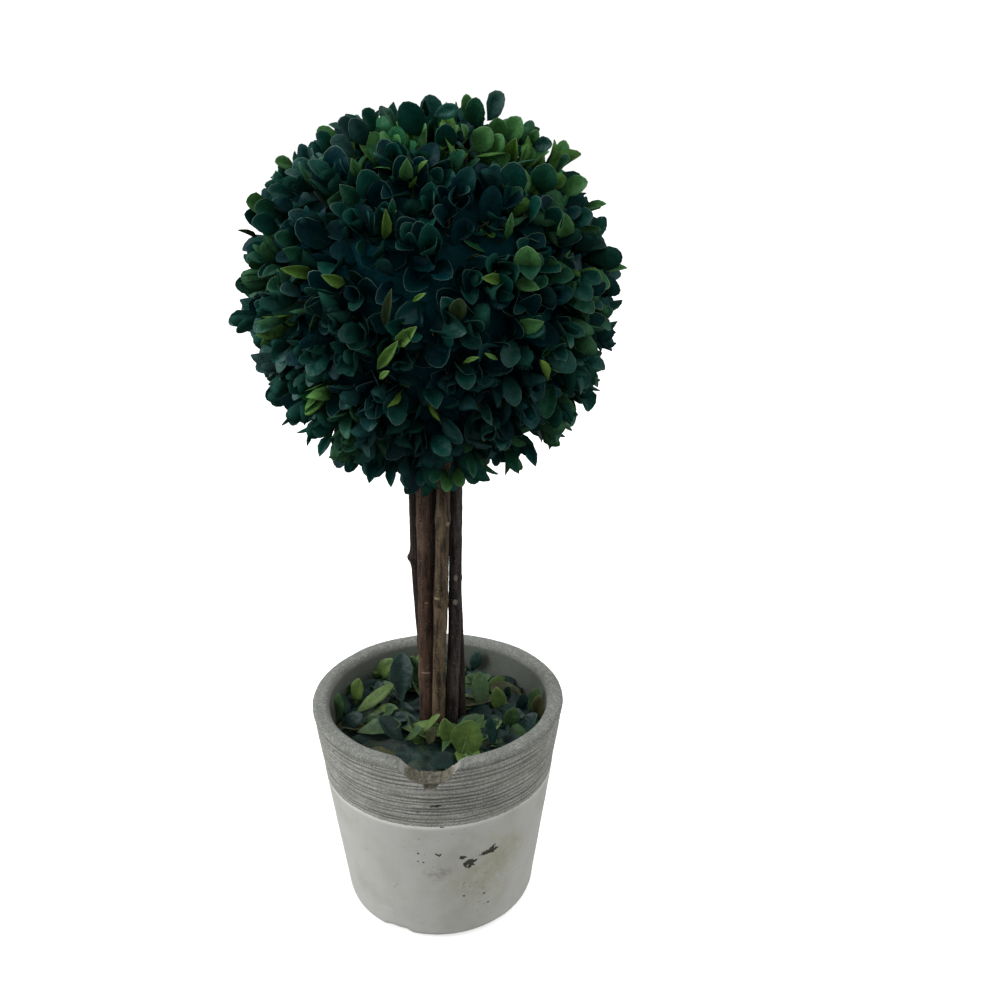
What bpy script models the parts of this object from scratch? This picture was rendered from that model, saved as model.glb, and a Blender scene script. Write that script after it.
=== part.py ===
"""Potted boxwood topiary: a clipped ball of preserved boxwood on six sticks, set in a filled concrete pot.

Units are metres and +Z is up. The origin is the middle of the pot's flat underside. The front, with the chip
in the pot's rim, faces -Y. Everything is worked out from the driving dimensions below.
"""

import math
import random

import bmesh
import bpy
from mathutils import Matrix, Vector

# Every solid keeps this gap to its neighbour.
GAP = 0.0003

# The pot is one casting: a straight taper with a grooved band under the rim.
POT_HEIGHT = 0.107
POT_TOP_RADIUS = 0.060
POT_BASE_RADIUS = 0.046
POT_WALL = 0.0075
POT_FLOOR = 0.010
RIM_ROUNDING = 0.0035
BASE_ROUNDING = 0.005
BAND_FOOT = 0.072
BAND_HEAD = 0.1015
GROOVES = 9
GROOVE_DEPTH = 0.0006
POT_SEGMENTS = 40

# The chip knocked out of the front of the rim.
CHIP_WIDTH = 0.034
CHIP_DEPTH = 0.0088
CHIP_ANGLE = math.radians(-91)

# The foam that holds the sticks, and the bed of leaves glued over it.
FOAM_TOP = 0.0835
BED_THICKNESS = 0.0065
BED_DOME = 0.0015
FILL_SEGMENTS = 32
BED_LEAF_RINGS = ((0.020, 10), (0.031, 14), (0.0415, 20))
BED_LEAF_LENGTH = 0.0215
BED_LEAF_WIDTH = 0.0125

# The sticks run from inside the foam to inside the ball.
STICK_FOOT = 0.046
STICK_HEAD = 0.262
STICK_LOW = 0.100
STICK_HIGH = 0.211
STICK_BEND = 0.010
STICK_TAPER = 0.94
STICK_STEPS = 9
KNOT_REACH = 0.0035

# Each stick: its radius, where it stands at STICK_LOW, at its crook and at STICK_HIGH, and its knots.
STICKS = {
    "stick_back_left": {
        "radius": 0.0028,
        "low": (-0.0058, 0.0060),
        "crook": (0.178, -0.0095, 0.0040),
        "high": (-0.0097, 0.0030),
        "knots": ((0.176, 0.30), (0.131, 0.12)),
    },
    "stick_front_left": {
        "radius": 0.0036,
        "low": (-0.0056, -0.0016),
        "crook": (0.150, -0.0050, -0.0028),
        "high": (-0.0048, -0.0040),
        "knots": ((0.196, 0.06), (0.118, 0.07)),
    },
    "stick_front": {
        "radius": 0.0032,
        "low": (0.0003, -0.0067),
        "crook": (0.159, 0.0021, -0.0066),
        "high": (0.0041, -0.0062),
        "knots": ((0.159, 0.12), (0.199, 0.14)),
    },
    "stick_right": {
        "radius": 0.0031,
        "low": (0.0064, -0.0010),
        "crook": (0.140, 0.0081, -0.0011),
        "high": (0.0094, -0.0013),
        "knots": ((0.154, 0.10), (0.186, 0.06)),
    },
    "stick_back_right": {
        "radius": 0.0024,
        "low": (0.0105, 0.0038),
        "crook": (0.135, 0.0097, 0.0048),
        "high": (0.0078, 0.0062),
        "knots": ((0.165, 0.12),),
    },
    "stick_back": {
        "radius": 0.0026,
        "low": (0.0015, 0.0058),
        "crook": (0.155, -0.0013, 0.0064),
        "high": (-0.0012, 0.0070),
        "knots": ((0.142, 0.12),),
    },
}

# The clipped ball: a round core that sprigs of leaves stand out of.
BALL_CENTRE = Vector((-0.0009, 0.0, 0.2972))
BALL_RADIUS = 0.0800
BALL_UNEVENNESS = 0.0025
CORE_RADIUS = 0.0580
SPRIGS = 100
TWIG_RADIUS = 0.0013
TWIG_ROOT = 0.004
TWIG_SHOWS = 0.0085
PAIR_STEP = 0.0038
LEAF_LENGTH = 0.0168
LEAF_WIDTH = 0.0130
TOP_PAIR_OPENING = math.radians(34)
LOW_PAIR_OPENING = math.radians(64)
LEAF_SIZE_SPREAD = 0.12
STRAY_SPRIG = Vector((0.275, -0.02, 0.961))
STRAY_REACH = 0.0835

# A leaf's outline, as shares of its half width and its length, from one side of the stalk to the other.
# The rim lifts by a share of the length, and the blade is thickest at its middle.
LEAF_OUTLINE = ((-1.0, 0.60), (-0.48, 0.97), (0.48, 0.97), (1.0, 0.60))
LEAF_MIDDLE = 0.50
LEAF_CUP = 0.10
LEAF_THICKNESS = 0.06
LEAF_SUNK = 0.0022

SEED = 41

CONCRETE = ("concrete", (0.30, 0.30, 0.285), 0.9)
WHITE_PAINT = ("white_paint", (0.58, 0.59, 0.575), 0.75)
FOAM = ("foam", (0.05, 0.075, 0.05), 0.95)
BARK = ("bark", (0.075, 0.045, 0.03), 0.8)
FOLIAGE = ("foliage", (0.02, 0.065, 0.03), 0.55)
DRY_LEAVES = ("dry_leaves", (0.06, 0.10, 0.03), 0.6)


def clear_scene():
    for obj in list(bpy.data.objects):
        bpy.data.objects.remove(obj, do_unlink=True)


def new_collection(name, hidden=False):
    collection = bpy.data.collections.new(name)
    bpy.context.scene.collection.children.link(collection)
    collection.hide_render = hidden
    return collection


def material(look):
    """The Principled material of one look: its name, base colour and roughness."""
    name, colour, roughness = look
    found = bpy.data.materials.get(name)
    if found:
        return found
    made = bpy.data.materials.new(name)
    made.use_nodes = True
    shader = made.node_tree.nodes["Principled BSDF"]
    shader.inputs["Base Color"].default_value = (*colour, 1.0)
    shader.inputs["Roughness"].default_value = roughness
    shader.inputs["Metallic"].default_value = 0.0
    return made


def add_object(name, mesh, collection, look=None):
    obj = bpy.data.objects.new(name, mesh)
    collection.objects.link(obj)
    if look:
        mesh.materials.append(material(look))
    return obj


def evaluated_mesh(obj):
    """The object's mesh with its modifiers applied, or the mesh that a curve makes, with its caps welded."""
    bpy.context.view_layer.update()
    graph = bpy.context.evaluated_depsgraph_get()
    mesh = bpy.data.meshes.new_from_object(obj.evaluated_get(graph))
    shape = bmesh.new()
    shape.from_mesh(mesh)
    bmesh.ops.remove_doubles(shape, verts=shape.verts, dist=1e-6)
    shape.to_mesh(mesh)
    shape.free()
    return mesh


def as_mesh_object(obj, name, collection):
    """Replaces obj by a plain mesh object of the same shape and place."""
    mesh = evaluated_mesh(obj)
    made = bpy.data.objects.new(name, mesh)
    made.matrix_world = obj.matrix_world.copy()
    collection.objects.link(made)
    bpy.data.objects.remove(obj, do_unlink=True)
    return made


def mark_cutter(obj):
    obj.hide_render = True
    obj.display_type = "WIRE"
    return obj


def turned(name, profile, segments, collection, look):
    """A profile of (radius, height) points, turned about Z. Its outer side runs down."""
    mesh = bpy.data.meshes.new(name + "_profile")
    points = [(radius, 0.0, height) for radius, height in profile]
    mesh.from_pydata(points, [(i, i + 1) for i in range(len(points) - 1)], [])
    obj = add_object(name + "_profile", mesh, collection)
    screw = obj.modifiers.new("Turn", "SCREW")
    screw.steps = segments
    screw.render_steps = segments
    screw.use_merge_vertices = True
    screw.merge_threshold = 1e-5
    solid = as_mesh_object(obj, name, collection)
    solid.data.materials.append(material(look))
    solid.data.shade_smooth()
    solid.data.set_sharp_from_angle(angle=math.radians(35))
    return solid


def arc(centre, radius, start, end, steps):
    """Points on an arc of a profile, from one angle in degrees to another."""
    angles = [math.radians(start + (end - start) * i / steps) for i in range(steps + 1)]
    return [(centre[0] + radius * math.cos(a), centre[1] + radius * math.sin(a)) for a in angles]


def outer_radius(height):
    return POT_BASE_RADIUS + (POT_TOP_RADIUS - POT_BASE_RADIUS) * height / POT_HEIGHT


def inner_radius(height):
    return outer_radius(height) - POT_WALL


def band_profile():
    """The grooved band from its head down: a ridge, then the bottom of a groove, GROOVES times."""
    pitch = (BAND_HEAD - BAND_FOOT) / GROOVES
    points = []
    for i in range(GROOVES):
        ridge = BAND_HEAD - i * pitch
        groove = ridge - pitch * (0.55 + 0.15 * math.sin(2.4 * i))
        depth = GROOVE_DEPTH * (0.8 + 0.35 * math.sin(1.7 * i + 1.0))
        points.append((outer_radius(ridge), ridge))
        points.append((outer_radius(groove) - depth, groove))
    points.append((outer_radius(BAND_FOOT), BAND_FOOT))
    return points


def make_pot(collection, cutters):
    """The concrete pot. Its profile goes up the inside, over the rim and down the grooved outside."""
    rim_inner = inner_radius(POT_HEIGHT)
    rim_z = POT_HEIGHT - RIM_ROUNDING
    profile = [(0.0, POT_FLOOR), (inner_radius(POT_FLOOR) - 0.004, POT_FLOOR)]
    profile += [(inner_radius(POT_FLOOR + 0.004), POT_FLOOR + 0.004), (inner_radius(rim_z), rim_z)]
    profile += arc((rim_inner + RIM_ROUNDING, rim_z), RIM_ROUNDING, 150, 90, 2)
    profile += arc((POT_TOP_RADIUS - RIM_ROUNDING, rim_z), RIM_ROUNDING, 90, 0, 3)
    profile += band_profile()
    foot = outer_radius(BASE_ROUNDING) - BASE_ROUNDING
    profile += arc((foot, BASE_ROUNDING), BASE_ROUNDING, 0, -90, 3)
    profile += [(0.0, 0.0)]
    pot = turned("pot", profile, POT_SEGMENTS, collection, CONCRETE)
    pot.data.materials.append(material(WHITE_PAINT))
    for face in pot.data.polygons:
        outside = face.normal.x * face.center.x + face.normal.y * face.center.y > 0
        if outside and face.center.z < BAND_FOOT:
            face.material_index = 1
    chip = pot.modifiers.new("Rim chip", "BOOLEAN")
    chip.operation = "DIFFERENCE"
    chip.object = make_chip_cutter(cutters)
    return pot


def make_chip_cutter(cutters):
    """A rough lump that overlaps the rim from above, where the piece broke out."""
    draw = random.Random(SEED)
    shape = bmesh.new()
    bmesh.ops.create_icosphere(shape, subdivisions=2, radius=1.0)
    for vertex in shape.verts:
        vertex.co *= draw.uniform(0.90, 1.08)
    mesh = bpy.data.meshes.new("rim_chip_cutter")
    shape.to_mesh(mesh)
    shape.free()
    cutter = mark_cutter(add_object("rim_chip_cutter", mesh, cutters))
    middle = POT_TOP_RADIUS - POT_WALL / 2
    cutter.location = (middle * math.cos(CHIP_ANGLE), middle * math.sin(CHIP_ANGLE), POT_HEIGHT + 0.001)
    cutter.rotation_euler = (0.0, 0.0, CHIP_ANGLE + math.pi / 2)
    cutter.scale = (CHIP_WIDTH / 2, 2.2 * POT_WALL, CHIP_DEPTH + 0.001)
    return cutter


def stick_place(stick, height):
    """The middle of a stick at a height: two straight runs that meet in a short bend at the crook."""
    crook_height, *crook = stick["crook"]
    place = []
    for axis in range(2):
        below = (crook[axis] - stick["low"][axis]) / (crook_height - STICK_LOW)
        above = (stick["high"][axis] - crook[axis]) / (STICK_HIGH - crook_height)
        rise = height - crook_height
        slope = above if rise > 0 else below
        offset = slope * rise
        if abs(rise) < STICK_BEND:
            offset += (above - below) * (STICK_BEND - abs(rise)) ** 2 / (4 * STICK_BEND)
        place.append(crook[axis] + offset)
    return Vector((*place, height))


def stick_radius(stick, height):
    """The stick's radius at a height: an even taper, swollen at each knot."""
    share = (height - STICK_FOOT) / (STICK_HEAD - STICK_FOOT)
    radius = stick["radius"] * (1 + (STICK_TAPER - 1) * share)
    for knot, swelling in stick["knots"]:
        radius *= 1 + swelling * math.exp(-(((height - knot) / KNOT_REACH) ** 2))
    return radius


def make_stick(name, stick, collection, grown=0.0):
    """One stick as a bevelled curve. A cutter for its socket is the same stick, grown by the gap all round."""
    span = STICK_HEAD - STICK_FOOT
    heights = [STICK_FOOT + span * i / STICK_STEPS for i in range(STICK_STEPS + 1)]
    for knot, _ in stick["knots"]:
        heights = [z for z in heights if abs(z - knot) > 2 * KNOT_REACH]
        heights += [knot - 1.4 * KNOT_REACH, knot, knot + 1.4 * KNOT_REACH]
    heights.sort()
    heights[0] -= grown
    heights[-1] += grown
    curve = bpy.data.curves.new(name, "CURVE")
    curve.dimensions = "3D"
    curve.bevel_depth = 1.0
    curve.bevel_resolution = 2
    curve.use_fill_caps = True
    spline = curve.splines.new("POLY")
    spline.points.add(len(heights) - 1)
    for point, height in zip(spline.points, heights):
        point.co = (*stick_place(stick, height), 1.0)
        point.radius = stick_radius(stick, height) + grown
    obj = add_object(name, curve, collection)
    curve.materials.append(material(BARK))
    return obj


def make_socket_cutters(cutters):
    """The space that each stick needs in the foam, the leaf bed and the ball."""
    made = []
    for name, stick in STICKS.items():
        curve = make_stick(name + "_grown", stick, cutters, grown=GAP)
        made.append(mark_cutter(as_mesh_object(curve, name + "_socket", cutters)))
    return made


def cut_sockets(solid, sockets):
    for socket in sockets:
        cut = solid.modifiers.new("Socket " + socket.name, "BOOLEAN")
        cut.operation = "DIFFERENCE"
        cut.object = socket


def make_foam(collection, sockets):
    """The foam block that fills the pot and grips the sticks."""
    low = POT_FLOOR + GAP
    profile = [(0.0, FOAM_TOP), (inner_radius(FOAM_TOP) - 2 * GAP, FOAM_TOP)]
    profile += [(inner_radius(low + 0.005) - 2 * GAP, low + 0.005)]
    profile += [(inner_radius(low) - 0.005, low), (0.0, low)]
    foam = turned("foam_block", profile, FILL_SEGMENTS, collection, FOAM)
    cut_sockets(foam, sockets)
    return foam


def make_unit_leaf():
    """A leaf of unit length and width: the stalk end at the origin, the blade along +Y, its upper face up.

    The rim is lifted above the midrib, so that the leaf is a shallow spoon with a thick middle.
    """
    shape = bmesh.new()
    ring = [shape.verts.new((0.0, 0.0, 0.0))]
    for across, along in LEAF_OUTLINE:
        ring.append(shape.verts.new((across / 2, along, 1.6 * LEAF_CUP * along * (1.25 - along))))
    top = shape.verts.new((0.0, LEAF_MIDDLE, LEAF_THICKNESS / 2))
    bottom = shape.verts.new((0.0, LEAF_MIDDLE, -LEAF_THICKNESS / 2))
    for i, corner in enumerate(ring):
        following = ring[(i + 1) % len(ring)]
        shape.faces.new((following, corner, top))
        shape.faces.new((corner, following, bottom))
    bmesh.ops.recalc_face_normals(shape, faces=shape.faces)
    mesh = bpy.data.meshes.new("leaf")
    shape.to_mesh(mesh)
    shape.free()
    return mesh


def leaf_samples(leaf, matrix):
    """Points spread over a placed leaf, for testing what it comes near."""
    corners = [matrix @ vertex.co for vertex in leaf.vertices]
    middle = (corners[-1] + corners[-2]) / 2
    return corners + [corner.lerp(middle, share) for corner in corners for share in (0.33, 0.66)]


def leaf_place(root, along, upper, length, width):
    """The matrix of a leaf that grows from a root along a direction, its upper face turned towards another."""
    y = along.normalized()
    x = y.cross(upper).normalized()
    z = x.cross(y)
    turn = Matrix((x, y, z)).transposed().to_4x4()
    return Matrix.Translation(root) @ turn @ Matrix.Diagonal((width, length, length, 1.0))


def any_side(axis):
    """A direction square to the axis."""
    helper = Vector((0, 0, 1)) if abs(axis.z) < 0.8 else Vector((1, 0, 0))
    return axis.cross(helper).normalized()


def near_sticks(points, clearance):
    """Whether any point lies closer than the clearance to the bark of a stick."""
    for stick in STICKS.values():
        for point in points:
            height = min(max(point.z, STICK_FOOT), STICK_HEAD)
            if (point - stick_place(stick, height)).length < stick_radius(stick, height) + clearance:
                return True
    return False


def add_twig(start, end, collection):
    """A three-sided twig that tapers to its tip."""
    shape = bmesh.new()
    length = (end - start).length
    bmesh.ops.create_cone(shape, cap_ends=True, segments=3, radius1=TWIG_RADIUS, radius2=0.7 * TWIG_RADIUS, depth=length)
    mesh = bpy.data.meshes.new("twig")
    shape.to_mesh(mesh)
    shape.free()
    twig = add_object("twig", mesh, collection)
    turn = (end - start).to_track_quat("Z", "Y").to_matrix().to_4x4()
    twig.matrix_world = Matrix.Translation((start + end) / 2) @ turn


def add_leaf_pair(leaf, joint, axis, side, opening, reach, draw, collection):
    """Two leaves face to face on a twig. One that would leave the ball or touch a stick is skipped."""
    for way in (1, -1):
        size = draw.uniform(1 - LEAF_SIZE_SPREAD, 1 + LEAF_SIZE_SPREAD)
        angle = opening * draw.uniform(0.75, 1.25)
        along = axis * math.cos(angle) + side * way * math.sin(angle)
        root = joint - axis * LEAF_SUNK + side * way * TWIG_RADIUS / 4
        place = leaf_place(root, along, axis, LEAF_LENGTH * size, LEAF_WIDTH * size)
        samples = leaf_samples(leaf, place)
        furthest = max((point - BALL_CENTRE).length for point in samples)
        if furthest > reach or near_sticks(samples, 3 * GAP):
            continue
        add_object("leaf", leaf, collection).matrix_world = place


def spread_directions(count):
    """Directions spread evenly over a sphere, by the golden angle."""
    golden = math.pi * (3 - math.sqrt(5))
    for i in range(count):
        z = 1 - (2 * i + 1) / count
        ring = math.sqrt(1 - z * z)
        yield Vector((ring * math.cos(golden * i), ring * math.sin(golden * i), z))


def add_sprig(leaf, direction, reach, draw, collection):
    """A sprig: a short twig out of the core with two pairs of leaves, one pair square to the other."""
    jitter = Vector((draw.gauss(0, 1), draw.gauss(0, 1), draw.gauss(0, 1)))
    axis = (direction + 0.10 * jitter).normalized()
    side = Matrix.Rotation(draw.uniform(0, 2 * math.pi), 3, axis) @ any_side(axis)
    surface = BALL_CENTRE + direction * CORE_RADIUS
    tip = surface + axis * (TWIG_SHOWS + reach - BALL_RADIUS)
    if near_sticks([surface, tip], TWIG_RADIUS + 4 * GAP):
        return
    add_twig(surface - axis * TWIG_ROOT, tip, collection)
    add_leaf_pair(leaf, tip, axis, side, TOP_PAIR_OPENING, reach, draw, collection)
    lower = tip - axis * PAIR_STEP
    add_leaf_pair(leaf, lower, axis, axis.cross(side), LOW_PAIR_OPENING, reach, draw, collection)


def keep_outer_shell(mesh):
    """Fills any hollow that the fusing sealed and drops loose scraps, by keeping the largest run of joined faces."""
    shape = bmesh.new()
    shape.from_mesh(mesh)
    unseen = set(shape.faces)
    shells = []
    while unseen:
        shell = []
        waiting = [unseen.pop()]
        while waiting:
            face = waiting.pop()
            shell.append(face)
            for other in [other for edge in face.edges for other in edge.link_faces]:
                if other in unseen:
                    unseen.remove(other)
                    waiting.append(other)
        shells.append(shell)
    shells.sort(key=len)
    loose = [face for shell in shells[:-1] for face in shell]
    bmesh.ops.delete(shape, geom=loose, context="FACES")
    shape.to_mesh(mesh)
    shape.free()


def fuse(core, pieces, name, collection, look):
    """One solid from a core and the collection of twigs and leaves rooted in it."""
    union = core.modifiers.new("Fuse", "BOOLEAN")
    union.operation = "UNION"
    union.operand_type = "COLLECTION"
    union.collection = pieces
    solid = as_mesh_object(core, name, collection)
    for obj in list(pieces.objects):
        bpy.data.objects.remove(obj, do_unlink=True)
    bpy.data.collections.remove(pieces)
    keep_outer_shell(solid.data)
    solid.data.materials.clear()
    solid.data.materials.append(material(look))
    return solid


def make_ball(collection, sockets):
    """The clipped ball of boxwood: the core, cut clear of the sticks, with sprigs all over it."""
    draw = random.Random(SEED)
    mesh = bpy.data.meshes.new("core")
    shape = bmesh.new()
    bmesh.ops.create_icosphere(shape, subdivisions=3, radius=CORE_RADIUS)
    bmesh.ops.translate(shape, verts=shape.verts, vec=BALL_CENTRE)
    shape.to_mesh(mesh)
    shape.free()
    core = add_object("core", mesh, collection)
    cut_sockets(core, sockets)
    core = as_mesh_object(core, "socketed_core", collection)
    pieces = new_collection("sprigs")
    leaf = make_unit_leaf()
    for direction in spread_directions(SPRIGS):
        reach = BALL_RADIUS + draw.uniform(-BALL_UNEVENNESS, BALL_UNEVENNESS)
        add_sprig(leaf, direction, reach, draw, pieces)
    add_sprig(leaf, STRAY_SPRIG.normalized(), STRAY_REACH, draw, pieces)
    return fuse(core, pieces, "boxwood_ball", collection, FOLIAGE)


def add_bed_leaf(leaf, ring, angle, draw, collection):
    """A fallen leaf on the bed, stalk end sunk in, that keeps clear of the sticks and the pot's wall."""
    length = BED_LEAF_LENGTH * draw.uniform(0.88, 1.1)
    width = BED_LEAF_WIDTH * draw.uniform(0.9, 1.12)
    bed_top = FOAM_TOP + GAP + BED_THICKNESS
    middle = Vector((ring * math.cos(angle), ring * math.sin(angle), bed_top - 0.0022))
    for _ in range(12):
        heading = draw.uniform(0, 2 * math.pi)
        tilt = math.radians(draw.uniform(4, 26))
        flat = Vector((math.cos(heading), math.sin(heading), 0))
        along = flat * math.cos(tilt) + Vector((0, 0, math.sin(tilt)))
        place = leaf_place(middle - flat * length / 2, along, Vector((0, 0, 1)), length, width)
        samples = leaf_samples(leaf, place)
        inside = all(point.xy.length < inner_radius(point.z) - 3 * GAP for point in samples)
        if inside and not near_sticks(samples, 3 * GAP):
            add_object("bed_leaf", leaf, collection).matrix_world = place
            return


def make_leaf_bed(collection, sockets):
    """The layer of leaves over the foam: a thin domed bed with loose leaves lying on it."""
    draw = random.Random(SEED + 1)
    low = FOAM_TOP + GAP
    high = low + BED_THICKNESS
    wall = inner_radius(low) - 2 * GAP
    shoulder = inner_radius(high - BED_DOME) - 2 * GAP
    profile = [(0.0, high), (0.75 * wall, high - BED_DOME / 2), (shoulder, high - BED_DOME), (wall, low), (0.0, low)]
    bed = turned("bed", profile, FILL_SEGMENTS, collection, DRY_LEAVES)
    cut_sockets(bed, sockets)
    bed = as_mesh_object(bed, "socketed_bed", collection)
    pieces = new_collection("fallen_leaves")
    leaf = make_unit_leaf()
    for ring, count in BED_LEAF_RINGS:
        for i in range(count):
            angle = 2 * math.pi * (i + draw.uniform(-0.3, 0.3)) / count
            add_bed_leaf(leaf, ring, angle, draw, pieces)
    return fuse(bed, pieces, "leaf_bed", collection, DRY_LEAVES)


def main():
    clear_scene()
    topiary = new_collection("boxwood_topiary")
    cutters = new_collection("cutters", hidden=True)
    sockets = make_socket_cutters(cutters)
    make_pot(topiary, cutters)
    make_foam(topiary, sockets)
    make_leaf_bed(topiary, sockets)
    for name, stick in STICKS.items():
        make_stick(name, stick, topiary)
    make_ball(topiary, sockets)


main()
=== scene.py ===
# %% [markdown]
# # A potted boxwood topiary, dressed
# The object is a clipped ball of preserved boxwood leaves on a bundle of six bark-covered sticks. The sticks
# stand in a round, tapered concrete pot with a grooved grey band, white paint below it and a chip in its rim.
# The pot is filled almost to the rim, and loose leaves are glued over the filling.
#
# The solids of the same object are already packed. This script loads them as a fixed frame, and dresses each
# one in a finer surface with a finish of its own: rough cast concrete, bark, and some thousands of leaves.
# Units are metres, +Z is up, and the front of the pot, with the chip, faces -Y.

# %% Load the frame
import math

import bpy
import numpy as np
from mathutils import Matrix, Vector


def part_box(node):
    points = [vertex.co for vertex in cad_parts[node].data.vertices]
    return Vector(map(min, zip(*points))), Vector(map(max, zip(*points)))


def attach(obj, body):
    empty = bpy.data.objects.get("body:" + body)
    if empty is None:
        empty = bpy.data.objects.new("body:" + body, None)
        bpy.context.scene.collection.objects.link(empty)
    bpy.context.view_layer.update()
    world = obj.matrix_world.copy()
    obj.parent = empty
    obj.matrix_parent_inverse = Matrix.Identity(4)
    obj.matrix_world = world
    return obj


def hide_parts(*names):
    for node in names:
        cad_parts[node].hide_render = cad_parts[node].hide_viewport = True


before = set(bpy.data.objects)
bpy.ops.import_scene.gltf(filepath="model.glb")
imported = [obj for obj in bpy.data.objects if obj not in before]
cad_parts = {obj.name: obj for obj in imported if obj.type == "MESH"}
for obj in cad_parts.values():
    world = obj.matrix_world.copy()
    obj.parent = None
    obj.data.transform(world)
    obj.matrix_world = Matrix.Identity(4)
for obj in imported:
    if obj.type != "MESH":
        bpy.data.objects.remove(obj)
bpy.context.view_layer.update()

# %% [markdown]
# ## Camera, floor and light
# The photograph looks down on the object at about 20 degrees, with a little roll. The camera was fitted to
# the ellipses of the pot's rim and base, so it is given here by its place, its pitch, its roll and its lens.
#
# The photograph shows the object cut out on pure white, under a soft light from the upper left. A white floor
# that lights the object from below would wash out the dark leaves, so the floor is hidden from rays that
# leave the object, and a lamp of its own, linked to it, makes it white. The world's light is brightest in a
# low band, which is what the camera sees behind the object, and softer above. It is weaker in front, where a
# light tent is open for the camera, so the middle of the ball is darker than its sides.

# %% The camera
CAMERA_PLACE = (0.02893, -0.400, 0.3532)
CAMERA_PITCH = math.radians(-20.247)
CAMERA_ROLL = math.radians(0.443)
CAMERA_LENS = 34.362

scene = bpy.context.scene
camera = bpy.data.objects.new("camera", bpy.data.cameras.new("camera"))
camera.data.lens = CAMERA_LENS
camera.data.dof.use_dof = False
scene.collection.objects.link(camera)
camera.matrix_world = (
    Matrix.Translation(CAMERA_PLACE)
    @ Matrix.Rotation(math.pi / 2 + CAMERA_PITCH, 4, "X")
    @ Matrix.Rotation(CAMERA_ROLL, 4, "Z")
)
scene.camera = camera
scene.view_settings.view_transform = "Standard"
print("camera at", CAMERA_PLACE, "lens", CAMERA_LENS)


# %% Helpers for colours and sizes
def seen(red, green, blue):
    """A colour as it is read off a screen, 0 to 255, turned into linear light: the screen's curve undone."""
    screen = np.array([red, green, blue]) / 255.0
    return tuple(np.where(screen <= 0.04045, screen / 12.92, ((screen + 0.055) / 1.055) ** 2.4))


def scaled(millimetres):
    """Millimetres as metres."""
    return tuple(value / 1000 for value in millimetres)


# %% [markdown]
# ## How the finishes are written
# A finish is a tree of shader nodes. To keep it readable, a number that varies over a surface is wrapped in
# a small class, so that plain arithmetic on it adds the Math nodes. Colours are blended with Mix nodes,
# because a Math node would turn them grey. Every other node comes from one method, which takes its type, its
# settings and what goes into its sockets.


# %% A number that varies over a surface
class Varying:
    """A socket that carries a number, with the arithmetic that adds Math nodes."""

    def __init__(self, finish, socket):
        self.finish = finish
        self.socket = socket

    def _math(self, operation, *terms):
        """A Math node that works on the terms in their order."""
        return self.finish.node("ShaderNodeMath", {"operation": operation}, dict(enumerate(terms)))

    def __add__(self, other):
        return self._math("ADD", self, other)

    def __radd__(self, other):
        return self._math("ADD", other, self)

    def __sub__(self, other):
        return self._math("SUBTRACT", self, other)

    def __rsub__(self, other):
        return self._math("SUBTRACT", other, self)

    def __mul__(self, other):
        return self._math("MULTIPLY", self, other)

    def __rmul__(self, other):
        return self._math("MULTIPLY", other, self)

    def most(self, other):
        """The greater of the two."""
        return self._math("MAXIMUM", self, other)


# %% A finish
# The Mix node's sockets for its share and its two colours, and its colour output.
MIX_SHARE, MIX_FIRST, MIX_SECOND, MIX_RESULT = 0, 6, 7, 2


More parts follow.
